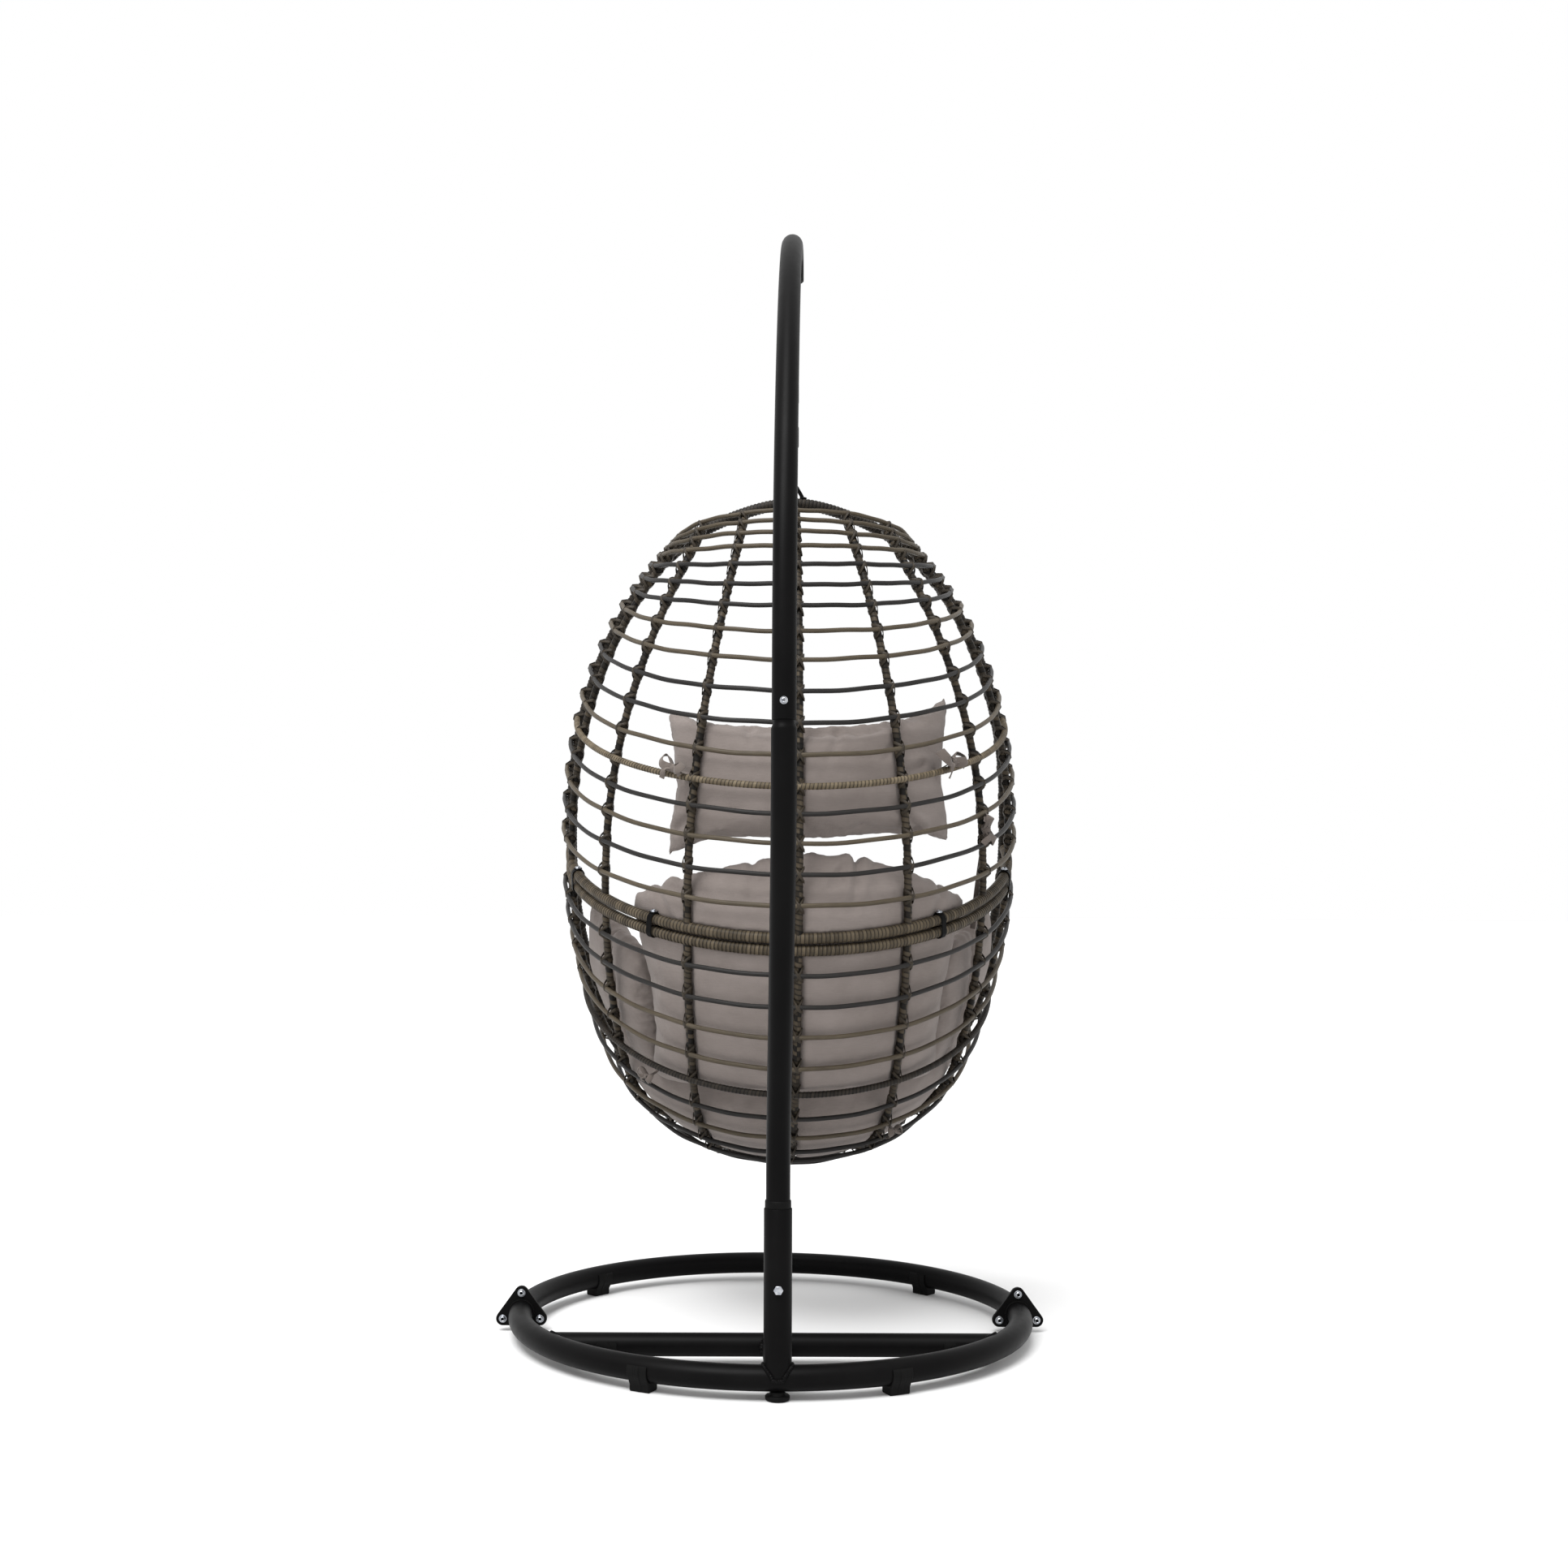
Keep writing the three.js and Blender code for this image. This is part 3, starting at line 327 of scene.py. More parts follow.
class Material:
    """A node material: the shader's fixed values, and short calls to add and join nodes."""

    def __init__(self, name, **fixed):
        self.material = bpy.data.materials.new(name)
        self.material.use_nodes = True
        self.nodes = self.material.node_tree.nodes
        self.shader = self.nodes["Principled BSDF"]
        for socket, value in fixed.items():
            self.shader.inputs[socket.replace("_", " ")].default_value = value

    def add(self, kind, settings=None, **inputs):
        node = self.nodes.new("ShaderNode" + kind)
        for key, value in (settings or {}).items():
            setattr(node, key, value)
        for socket, value in inputs.items():
            self.give(node, socket.replace("_", " "), value)
        return node

    def give(self, node, socket, value):
        numbered = socket[0] == "i" and socket[1:].isdigit()
        target = node.inputs[int(socket[1:]) if numbered else socket]
        if isinstance(value, bpy.types.NodeSocket):
            self.material.node_tree.links.new(value, target)
        else:
            target.default_value = value

    def math(self, operation, first, second=0.0):
        return self.add("Math", {"operation": operation}, i0=first, i1=second).outputs[0]

    def place(self, stretch=(1, 1, 1)):
        coordinates = self.add("TexCoord").outputs["Object"]
        return self.add("Mapping", Vector=coordinates, Scale=stretch).outputs[0]

    def strip(self):
        """Metres along a strip, and turns around it."""
        uv = self.add("UVMap", {"uv_map": "strip"}).outputs[0]
        parts = self.add("SeparateXYZ", Vector=uv)
        return parts.outputs[0], parts.outputs[1]

    def stretched(self, first, first_scale, second, second_scale):
        scaled = self.math("MULTIPLY", first, first_scale), self.math("MULTIPLY", second, second_scale)
        return self.add("CombineXYZ", X=scaled[0], Y=scaled[1]).outputs[0]

    def noise(self, vector, scale, detail=3.0, roughness=0.55):
        return self.add("TexNoise", Vector=vector, Scale=scale, Detail=detail, Roughness=roughness).outputs[0]

    def ramp(self, value, stops):
        node = self.add("ValToRGB", Fac=value)
        elements = node.color_ramp.elements
        while len(elements) < len(stops):
            elements.new(0.5)
        for element, (position, colour) in zip(elements, stops):
            element.position = position
            element.color = (*colour, 1) if len(colour) == 3 else colour
        return node.outputs[0]

    def mix(self, factor, first, second, blend="MIX"):
        node = self.add("Mix", {"data_type": "RGBA", "blend_type": blend})
        self.give(node, "i0", factor)
        self.give(node, "i6", first)
        self.give(node, "i7", second)
        return node.outputs[2]

    def scaled(self, value, low, high):
        return self.add("MapRange", Value=value, To_Min=low, To_Max=high).outputs[0]

    def bump(self, height, distance, strength=1.0, normal=None):
        node = self.add("Bump", Height=height, Distance=distance, Strength=strength)
        if normal is not None:
            self.give(node, "Normal", normal)
        return node.outputs[0]

    def finish(self, colour=None, roughness=None, normal=None):
        for socket, value in (("Base Color", colour), ("Roughness", roughness), ("Normal", normal)):
            if value is not None:
                self.give(self.shader, socket, value)
        return self.material


def grey(value):
    return (value, value, value)


def powder_coat():
    m = Material("powder_coat", Specular_IOR_Level=0.05)
    broad = m.noise(m.place(), 7, 4)
    fine = m.noise(m.place(), 620, 2)
    dust = m.noise(m.place(), 55, 6, 0.7)
    colour = m.ramp(broad, [(0.3, (0.0016, 0.0015, 0.0017)), (0.7, (0.0030, 0.0029, 0.0030))])
    colour = m.mix(m.scaled(dust, 0, 0.10), colour, (0.014, 0.013, 0.012, 1))
    return m.finish(colour, m.scaled(dust, 0.34, 0.5), m.bump(fine, 0.00025, 0.35))


def black_plastic():
    m = Material("black_plastic", Specular_IOR_Level=0.08)
    grain = m.noise(m.place(), 900, 2)
    broad = m.noise(m.place(), 30, 4)
    colour = m.ramp(broad, [(0.3, (0.0020, 0.0020, 0.0020)), (0.75, (0.0045, 0.0044, 0.0043))])
    return m.finish(colour, m.scaled(broad, 0.5, 0.68), m.bump(grain, 0.0002, 0.5))


def zinc():
    m = Material("zinc_plate", Metallic=1.0)
    spangle = m.noise(m.place(), 160, 3)
    scratch = m.noise(m.place((1, 12, 1)), 300, 4, 0.7)
    colour = m.ramp(spangle, [(0.3, (0.30, 0.32, 0.36)), (0.7, (0.52, 0.53, 0.55))])
    return m.finish(colour, m.scaled(scratch, 0.2, 0.42), m.bump(scratch, 0.00008, 0.4))


def slat_wicker(name, dark, light):
    """Round extruded rattan: fine ridges along it, and streaks of colour."""
    m = Material(name, Specular_IOR_Level=0.2)
    along, around = m.strip()
    ridges = m.math("SINE", m.math("MULTIPLY", around, 2 * math.pi * 15))
    stretched = m.stretched(along, 9.0, around, 7.0)
    streaks = m.noise(stretched, 4.0, 5, 0.65)
    patches = m.noise(m.place(), 16, 3)
    colour = m.mix(m.scaled(patches, 0.1, 0.9), m.ramp(streaks, [(0.3, dark), (0.75, light)]), (*dark, 1))
    height = m.math("ADD", m.math("MULTIPLY", ridges, 0.35), streaks)
    return m.finish(colour, m.scaled(streaks, 0.36, 0.56), m.bump(height, 0.0004, 0.6))


def wound_wicker(name, dark, light, pitch, lean=1.0, variety=0.3):
    """Flat rattan wound round a tube: every turn has a tone of its own, with fine ridges along the strand,
    and painted shade darkens the grooves between the turns.
    """
    m = Material(name, Specular_IOR_Level=0.15)
    along, around = m.strip()
    turns = m.math("ADD", m.math("DIVIDE", along, pitch), m.math("MULTIPLY", around, lean))
    turn = m.math("FLOOR", turns)
    tone = m.add("TexWhiteNoise", {"noise_dimensions": "1D"}, W=turn).outputs[0]
    place = m.math("FRACT", turns)
    ridges = m.math("SINE", m.math("MULTIPLY", place, 2 * math.pi * 4))
    stretched = m.stretched(turns, 9.0, around, 3.0)
    grain = m.noise(stretched, 3.0, 4, 0.6)
    mixed = m.math("ADD", m.math("MULTIPLY", tone, variety), m.math("MULTIPLY", grain, 1 - variety))
    colour = m.ramp(mixed, [(0.2, dark), (0.8, light)])
    # Each turn is darkened towards its edges, where it meets the next turn: this is painted shade in the
    # grooves between the turns, multiplied into the colour.
    edge = m.math("MINIMUM", place, m.math("SUBTRACT", 1.0, place))
    seam = m.ramp(edge, [(0.0, grey(0.08)), (0.22, grey(1.0))])
    colour = m.mix(1.0, colour, seam, "MULTIPLY")
    height = m.math("ADD", m.math("MULTIPLY", ridges, 0.25), grain)
    return m.finish(colour, m.scaled(grain, 0.4, 0.6), m.bump(height, 0.0003, 0.5))


def cloth(name, dark, light, weave_scale=1400.0):
    """Woven polyester: a fine over-and-under weave, soft mottling and small creases."""
    m = Material(name, Sheen_Weight=0.12, Sheen_Roughness=0.5, Specular_IOR_Level=0.15)
    place = m.place()
    parts = m.add("SeparateXYZ", Vector=place)
    level = m.math("SINE", m.math("MULTIPLY", parts.outputs[2], weave_scale * 2))
    flat = m.math("ADD", parts.outputs[0], m.math("MULTIPLY", parts.outputs[1], 0.8))
    upright = m.math("SINE", m.math("MULTIPLY", flat, weave_scale * 2))
    weave = m.math("MULTIPLY", level, upright)
    mottle = m.noise(place, 7, 5, 0.6)
    slub = m.noise(m.place((1, 1, 14)), 60, 4, 0.7)
    creases = m.noise(place, 22, 4, 0.5)
    tone = m.math("ADD", m.math("MULTIPLY", mottle, 0.7), m.math("MULTIPLY", slub, 0.3))
    colour = m.ramp(tone, [(0.32, dark), (0.68, light)])
    normal = m.bump(creases, 0.008, 0.4)
    normal = m.bump(m.math("ADD", m.math("MULTIPLY", weave, 0.5), slub), 0.0004, 0.5, normal)
    return m.finish(colour, m.scaled(slub, 0.82, 0.97), normal)


STEEL = powder_coat()
PLASTIC = black_plastic()
ZINC = zinc()
# Each wicker and cloth has a dark and a light end of its colour.
TAUPE_SLAT = slat_wicker("wicker_taupe", (0.040, 0.031, 0.020), (0.135, 0.108, 0.072))
DARK_SLAT = slat_wicker("wicker_dark", (0.0070, 0.0064, 0.0060), (0.030, 0.027, 0.025))
LIGHT_WOUND = wound_wicker("wound_wicker_light", (0.060, 0.046, 0.029), (0.175, 0.140, 0.093), WOUND_PITCH)
DARK_WOUND = wound_wicker("wound_wicker_dark", (0.007, 0.006, 0.005), (0.034, 0.027, 0.020), WOUND_PITCH)
RIM_WOUND = wound_wicker("wound_wicker_rim", (0.020, 0.0155, 0.010), (0.120, 0.094, 0.062),
                         RIM_PITCH, RIM_LEAN)
RIB_WOUND = wound_wicker("wound_wicker_rib", (0.005, 0.004, 0.003), (0.062, 0.048, 0.032),
                         RIB_PITCH, variety=0.7)
LASHING = slat_wicker("wicker_lashing", (0.011, 0.0085, 0.006), (0.095, 0.074, 0.050))
CUSHION_CLOTH = cloth("cushion_cloth", (0.165, 0.140, 0.127), (0.235, 0.203, 0.188))
TIE_CLOTH = cloth("tie_cloth", (0.085, 0.070, 0.062), (0.150, 0.127, 0.113))


def floor_material():
    m = Material("floor", Specular_IOR_Level=0.2)
    broad = m.noise(m.place(), 0.8, 3)
    return m.finish(m.ramp(broad, [(0.3, grey(0.68)), (0.7, grey(0.70))]), m.scaled(broad, 0.75, 0.85))


def make_stage():
    """A wide round pale floor."""
    rings = [(0.01, 0), (2, 0), (6, 0), (16, 0), (60, 0)]
    points, quads, quad_uv, triangles = spun(rings, (0, 0, 0), sides=96)
    mesh = bpy.data.meshes.new("stage")
    mesh.from_pydata(points.tolist(), [], quads.tolist() + triangles[:96].tolist())
    mesh.polygons.foreach_set("use_smooth", np.ones(len(mesh.polygons), bool))
    mesh.materials.append(floor_material())
    stage = bpy.data.objects.new("stage", mesh)
    bpy.context.scene.collection.objects.link(stage)


def make_world():
    world = bpy.data.worlds.new("studio")
    world.use_nodes = True
    background = world.node_tree.nodes["Background"]
    background.inputs["Color"].default_value = (1, 1, 1, 1)
    background.inputs["Strength"].default_value = 1.0
    bpy.context.scene.world = world
    bpy.context.scene.view_settings.view_transform = "Standard"


make_camera()
make_stage()
make_world()
sun_light("overhead", (0.45, 0.95, 2.1), 3.0, 35)
area_light("key", (1.8, 2.6, 4.0), 1.8, 60)

# ---------------------------------------------------------------- base ring

RING_LOW, RING_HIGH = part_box("ring_rear")
RING_TUBE = 0.021
RING_RADIUS = RING_HIGH.x - RING_TUBE
RING_Z = (RING_LOW.z + RING_HIGH.z) / 2
RING_Y = (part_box("flange_front_left")[1].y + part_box("flange_rear_left")[0].y) / 2
RING_CENTRE = np.array([0, RING_Y, RING_Z])
CROSSBAR_Y = box_middle("crossbar")[1]
CROSSBAR_TUBE = 0.020
PLATE_THICKNESS = 0.004
MAST_AXIS = np.array([0, RING_Y + RING_RADIUS, 0])


def make_ring():
    end = math.asin((PLATE_THICKNESS + 0.0004) / RING_RADIUS)
    for half, sign in (("rear", 1), ("front", -1)):
        centres = arc(RING_CENTRE, X, Y, RING_RADIUS, sign * end, sign * (math.pi - end), 150)
        build(f"ring_tube_{half}", [tube(centres, RING_TUBE, 40)], STEEL, "stand", [f"ring_{half}"])


def plate_outline(corner, span, drop, rise, count=9):
    points = []
    for x, z, start, end in ((span, -drop, -90, 34), (0, rise, 34, 146), (-span, -drop, 146, 270)):
        for angle in np.radians(np.linspace(start, end, count)):
            points.append((x + corner * math.cos(angle), z + corner * math.sin(angle)))
    return points


def button_screw(base, axis, head, height, recess):
    """A domed head with a hexagonal socket, on a thin washer."""
    brim = [(0.001, 0), (head * 1.24, 0), (head * 1.26, 0.0007), (head * 1.18, 0.0012), (head * 0.9, 0.0012)]
    washer = spun(brim, base, axis)
    dome = [(head, 0.0012), (head, 0.0020), (head * 0.94, height * 0.66), (head * 0.76, height * 0.92)]
    dome += [(recess * 1.22, height), (recess, height - 0.0003), (recess * 0.94, 0.0009), (0.0004, 0.0006)]
    return [washer, spun(dome, base, axis, 36, six_sided=(5, 6))]


def hex_nut(base, axis, flat_to_flat, height, radius):
    """A nut with chamfered corners and the bolt's end showing in it."""
    half = flat_to_flat / 2
    body = [(half * 0.8, 0), (half, 0.0006), (half, height - 0.0006), (half * 0.88, height), (radius, height)]
    body += [(radius * 0.98, height + 0.0016), (radius * 0.7, height + 0.0021), (0.0002, height + 0.0021)]
    brim = [(0.001, -0.0012), (half * 1.3, -0.0012), (half * 1.3, 0), (half * 0.8, 0.0001)]
    washer = spun(brim, base, axis)
    return [washer, spun(body, base, axis, 36, six_sided=(0, 1, 2))]


def make_flanges():
    outline = plate_outline(0.0125, 0.034, 0.012, 0.035)
    face = PLATE_THICKNESS + 0.0002
    for side, sign in (("left", -1), ("right", 1)):
        middle = RING_CENTRE + sign * RING_RADIUS * X
        for half, way in (("rear", 1), ("front", -1)):
            centre = middle + way * (0.00015 + PLATE_THICKNESS / 2) * Y
            plate = prism(outline, centre, X, Z, PLATE_THICKNESS, 0.0006)
            collar = arc(middle + way * face * Y, X, Z, RING_TUBE + 0.0009, 0, 2 * math.pi, 90)[:-1]
            pieces = [plate, bead(collar, 0.0022, closed=True)]
            build(f"plate_{half}_{side}", pieces, STEEL, "stand", [f"flange_{half}_{side}"])
        for name, along, height in (("top", 0, 0.035), ("outer", 1, -0.012), ("inner", -1, -0.012)):
            place = middle + sign * along * 0.034 * X + height * Z
            pieces = button_screw(place + face * Y, Y, 0.0057, 0.0050, 0.0027)
            pieces += hex_nut(place - face * Y, -Y, 0.013, 0.0052, 0.004)
            node = f"flange_bolt_{name}_{side}"
            build(f"bolt_{name}_{side}", pieces, ZINC, "stand", [node])


def reach_to_ring(y, height):
    """How far from the middle plane a level tube meets the ring tube's inner side."""
    radius = RING_RADIUS - math.sqrt(RING_TUBE**2 - height**2)
    return math.sqrt(radius**2 - (y - RING_Y) ** 2)


def make_crossbar():
    """The chord across the ring and the link tube from it to the ring's back, each cut to its neighbour."""
    turns = np.linspace(0, 2 * np.pi, 64, endpoint=False)
    rings, beads = [], []
    for sign in (-1, 1):
        ring = []
        for turn in turns:
            y, height = CROSSBAR_Y + CROSSBAR_TUBE * math.cos(turn), CROSSBAR_TUBE * math.sin(turn)
            ring.append((sign * reach_to_ring(y, height), y, RING_Z + height))
        rings.append(ring)
        beads.append(bead(np.array(ring) - sign * 0.0012 * X, 0.0026, closed=True))
    rings = np.array(rings)
    inner = [rings[0] + t * (rings[1] - rings[0]) for t in (0, 0.25, 0.5, 0.75, 1)]
    build("crossbar_tube", [loft(inner), *beads], STEEL, "stand", ["crossbar"])

    near, far = [], []
    for turn in turns:
        x, height = CROSSBAR_TUBE * math.cos(turn), 0.98 * CROSSBAR_TUBE * math.sin(turn)
        near.append((x, CROSSBAR_Y + math.sqrt(CROSSBAR_TUBE**2 - height**2), RING_Z + height))
        radius = RING_RADIUS - math.sqrt(RING_TUBE**2 - height**2)
        far.append((x, RING_Y + math.sqrt(radius**2 - x**2), RING_Z + height))
    near, far = np.array(near), np.array(far)
    ends = [bead(near + 0.002 * Y, 0.0045, closed=True), bead(far - 0.001 * Y, 0.0026, closed=True)]
    shape = loft([near, (near + far) / 2, far])
    build("link_tube_body", [shape, *ends], STEEL, "stand", ["link_tube"])


def clip_outline():
    """A clip round the tube's lower part, with hollow cheeks that run down into a square block."""
    inner, outer, block = RING_TUBE + 0.0002, RING_TUBE + 0.0028, 0.014
    lip = math.radians(24)
    bottom = -RING_Z + 0.0002
    cheek = 0.62

    def curve(radius, start, end, count):
        return [(radius * math.cos(a), radius * math.sin(a)) for a in np.linspace(start, end, count)]

    points = curve(inner, lip, -math.pi - lip, 40) + curve(outer, math.pi - lip, math.pi + cheek, 10)
    points += [(-block - 0.0012, -0.0215), (-block, -0.024), (-block, bottom + 0.002)]
    points += [(-block + 0.002, bottom), (block - 0.002, bottom)]
    points += [(block, bottom + 0.002), (block, -0.024), (block + 0.0012, -0.0215)]
    return points + curve(outer, -cheek, lip, 10)


def make_feet():
    outline = clip_outline()
    for side in ("left", "right"):
        for spot in ("front", "rear", "crossbar"):
            node = f"foot_{spot}_{side}"
            centre = box_middle(node)
            centre[2] = RING_Z
            if spot == "crossbar":
                along = X
                shrink = CROSSBAR_TUBE / RING_TUBE
            else:
                outward = unit((centre - RING_CENTRE) * (1, 1, 0))
                along = np.cross(Z, outward)
                centre = RING_CENTRE + RING_RADIUS * outward
                shrink = 1
            across = np.cross(along, Z)
            flat = np.array(outline) * (shrink, 1)
            body = prism(flat, centre, across, Z, 0.036, 0.0009)
            rib = prism(flat * (1.04, 1), centre, across, Z, 0.009, 0.0008)
            build(f"clip_{spot}_{side}", [body, rib], PLASTIC, "stand", [node])
    top = RING_Z - RING_TUBE
    profile = [(0.0005, 0.0002), (0.0165, 0.0002), (0.0188, 0.0012), (0.0198, 0.0034), (0.0198, 0.0072)]
    profile += [(0.0186, 0.0084), (0.0135, 0.0092), (0.0124, 0.0108), (0.0122, top), (0.0005, top + 0.0004)]
    build("mast_pad", [spun(profile, MAST_AXIS, sides=48)], PLASTIC, "stand", ["foot_pad_mast"])


# ---------------------------------------------------------------- mast

SOCKET_TUBE = 0.0225
SOCKET_BORE = 0.0212
SOCKET_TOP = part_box("mast_socket")[1].z
COLLAR_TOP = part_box("socket_collar")[1].z
SOCKET_BOLT_Z = box_middle("socket_bolt")[2]
POST_TUBE = 0.0193
NECK_TUBE = 0.0162
POST_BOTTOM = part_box("lower_post")[0].z
POST_BEND_START = 0.350
POST_SHOULDER = 1.044
NECK_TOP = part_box("lower_post")[1].z
JOINT_Y = box_middle("arm_screw")[1]
ARM_TUBE = 0.0183
ARM_BORE = 0.0166
ARM_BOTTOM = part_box("upper_arm")[0].z
ARM_STRAIGHT = 0.090
ARM_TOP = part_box("upper_arm")[1].z - ARM_TUBE
ARM_SCREW_Z = box_middle("arm_screw")[2]
TIP_BEND = 0.034
TIP_Z = ARM_TOP - TIP_BEND
ARM_FOOT = np.array([0, JOINT_Y, 0])
ARM_REACH = math.hypot(HANG_X, HANG_Y - JOINT_Y)
FORWARD = np.array([HANG_X, HANG_Y - JOINT_Y, 0]) / ARM_REACH
ARM_SIDE = np.cross(Z, FORWARD)


def make_socket():
    turns = np.linspace(0, 2 * np.pi, 72, endpoint=False)
    circle = np.stack([np.cos(turns), np.sin(turns), 0 * turns], 1)
    around = MAST_AXIS + SOCKET_TUBE * circle
    offset = np.hypot(around[:, 0], around[:, 1] - RING_Y) - RING_RADIUS
    mouth = around + (RING_Z + np.sqrt(np.maximum(0, RING_TUBE**2 - offset**2)))[:, None] * Z
    rows = [mouth, mouth * (1, 1, 0) + (RING_Z + RING_TUBE + 0.004) * Z, around + (SOCKET_TOP - 0.0008) * Z]
    lip = [(SOCKET_TUBE - 0.0005, 0), (SOCKET_BORE + 0.0003, 0), (SOCKET_BORE, -0.001), (SOCKET_BORE, -0.03)]
    rows += [MAST_AXIS + radius * circle + (SOCKET_TOP + drop) * Z for radius, drop in lip]
    weld = bead(mouth + 0.0008 * circle + 0.0006 * Z, 0.0032, closed=True)
    build("socket_tube", [loft(rows, caps=False), weld], STEEL, "stand", ["mast_socket"])

    rim = COLLAR_TOP - SOCKET_TOP
    profile = [(POST_TUBE, -0.028), (SOCKET_BORE - 0.0004, -0.028), (SOCKET_BORE - 0.0004, 0.0015)]
    profile += [(SOCKET_BORE - 0.0002, 0.002), (SOCKET_BORE - 0.0003, rim - 0.0012)]
    profile += [(POST_TUBE + 0.0008, rim), (POST_TUBE, rim - 0.0005)]
    base = MAST_AXIS + SOCKET_TOP * Z
    build("collar_sleeve", [spun(profile, base, sides=48)], PLASTIC, "stand", ["socket_collar"])


def make_socket_bolt():
    middle = MAST_AXIS + SOCKET_BOLT_Z * Z
    half = SOCKET_TUBE + 0.0003
    saddle = [(0.0005, -0.003), (0.0060, -0.003), (0.0062, 0.0006), (0.0058, 0.0010)]
    head = [(0.0060, 0.001), (0.0066, 0.0014), (0.0066, 0.0046), (0.0056, 0.0055), (0.0005, 0.0056)]
    face = middle + half * Y
    pieces = [spun(saddle, face, Y), spun(head, face, Y, 36, six_sided=(0, 1, 2))]
    pieces += hex_nut(middle - half * Y, -Y, 0.0130, 0.0052, 0.004)
    build("socket_hex_bolt", pieces, ZINC, "stand", ["socket_bolt"])


def make_post():
    """The lower half of the mast: a straight foot, a bend to the back, a shoulder and a narrower neck."""
    start = MAST_AXIS + POST_BEND_START * Z
    top = np.array([0, JOINT_Y, 0])
    bend_end = top + (POST_SHOULDER - 0.03) * Z
    bend = bezier(start, start + 0.15 * Z, top + (POST_SHOULDER - 0.32) * Z, bend_end, 120)
    foot = line(MAST_AXIS + POST_BOTTOM * Z, start, 6)
    swage = [(-0.012, POST_TUBE), (0, POST_TUBE), (0.002, 0.0190), (0.005, 0.0178), (0.008, 0.0166)]
    swage += [(0.010, NECK_TUBE), (0.04, NECK_TUBE)]
    neck = [(POST_SHOULDER + rise, radius) for rise, radius in swage]
    neck += [(NECK_TOP - 0.001, NECK_TUBE), (NECK_TOP, NECK_TUBE - 0.001)]
    centres = np.vstack([foot[:-1], bend, *(top + height * Z for height, _ in neck)])
    radii = np.full(len(centres), POST_TUBE)
    radii[-len(neck):] = [radius for _, radius in neck]
    build("post_tube", [tube(centres, radii, 40, X)], STEEL, "stand", ["lower_post"], 50)


def arm_line():
    bottom = ARM_FOOT + (ARM_BOTTOM + 0.001) * Z
    bend_start = ARM_FOOT + (ARM_BOTTOM + ARM_STRAIGHT) * Z
    crest = ARM_REACH - TIP_BEND
    before_crest = ARM_FOOT + (crest - 0.29) * FORWARD + (ARM_TOP - 0.008) * Z
    at_crest = ARM_FOOT + crest * FORWARD + ARM_TOP * Z
    sweep = bezier(bend_start, bend_start + 0.37 * Z, before_crest, at_crest, 150)
    tip = arc(ARM_FOOT + crest * FORWARD + TIP_Z * Z, FORWARD, Z, TIP_BEND, math.pi / 2, 0, 22)
    return np.vstack([line(bottom, bend_start, 5)[:-1], sweep, tip[1:]])


def make_arm():
    centres = arm_line()
    lip = [centres[0] + height * Z for height in (0.02, 0.0, -0.0008, -0.001)]
    lip_radii = [ARM_BORE, ARM_BORE, ARM_BORE + 0.0004, ARM_TUBE - 0.0005]
    shape = tube(centres, ARM_TUBE, 40, ARM_SIDE, caps=False)
    first = shape[0][:40] - centres[0]
    rows = [centre + first * radius / ARM_TUBE for centre, radius in zip(lip, lip_radii)]
    rows.append(shape[0][:40])
    build("arm_tube", [loft(rows, caps=False), shape], STEEL, "stand", ["upper_arm"])

    place = ARM_FOOT + ARM_SCREW_Z * Z
    pieces = button_screw(place - ARM_TUBE * FORWARD, -FORWARD, 0.0047, 0.0042, 0.0022)
    pieces += hex_nut(place + (ARM_TUBE + 0.0008) * FORWARD, FORWARD, 0.010, 0.004, 0.003)
    build("sleeve_screw", pieces, ZINC, "stand", ["arm_screw"])


def make_tip():
    tip = ARM_FOOT + ARM_REACH * FORWARD
    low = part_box("arm_end_cap")[0].z
    edge = TIP_Z - low
    profile = [(0.0056, 0.012), (0.0056, 0.0004), (0.0064, 0), (ARM_TUBE - 0.0016, 0)]
    profile += [(ARM_TUBE - 0.0002, 0.0012), (ARM_TUBE, edge - 0.0003)]
    profile += [(ARM_BORE, edge), (ARM_BORE, edge + 0.005)]
    build("tip_cap", [spun(profile, tip + low * Z, sides=48)], PLASTIC, "stand", ["arm_end_cap"])

    wire, radius = 0.004, 0.012
    eye_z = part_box("hanging_eye")[0].z + wire + radius
    centre = tip + eye_z * Z
    centres = arc(centre, Y, Z, radius, -math.pi / 2, 1.5 * math.pi, 73)[:-1]
    shank = spun([(0.0049, 0), (0.0049, 0.03)], tip + (eye_z + radius) * Z)
    nut = spun([(0.0075, 0), (0.0082, 0.0006), (0.0082, 0.0046), (0.0075, 0.0052)],
               tip + (eye_z + radius + wire * 0.2) * Z, sides=36, six_sided=(0, 1, 2, 3))
    build("eye_bolt", [tube(centres, wire, 20, X, closed=True), shank, nut], ZINC, "stand", ["hanging_eye"])


# ---------------------------------------------------------------- chain and carabiner


def drawn_ring(centre, across, half_width, length, count=64):
    """A closed line of two half circles joined by straights; length is between the ends' middles."""
    reach = length / 2 - half_width
    angles = np.linspace(0, 2 * np.pi, count, endpoint=False) + np.pi / count
    flat = half_width * np.stack([np.cos(angles), np.sin(angles)], 1)
    flat[:, 1] += np.sign(flat[:, 1]) * reach
    return centre + flat[:, :1] * across + flat[:, 1:] * Z


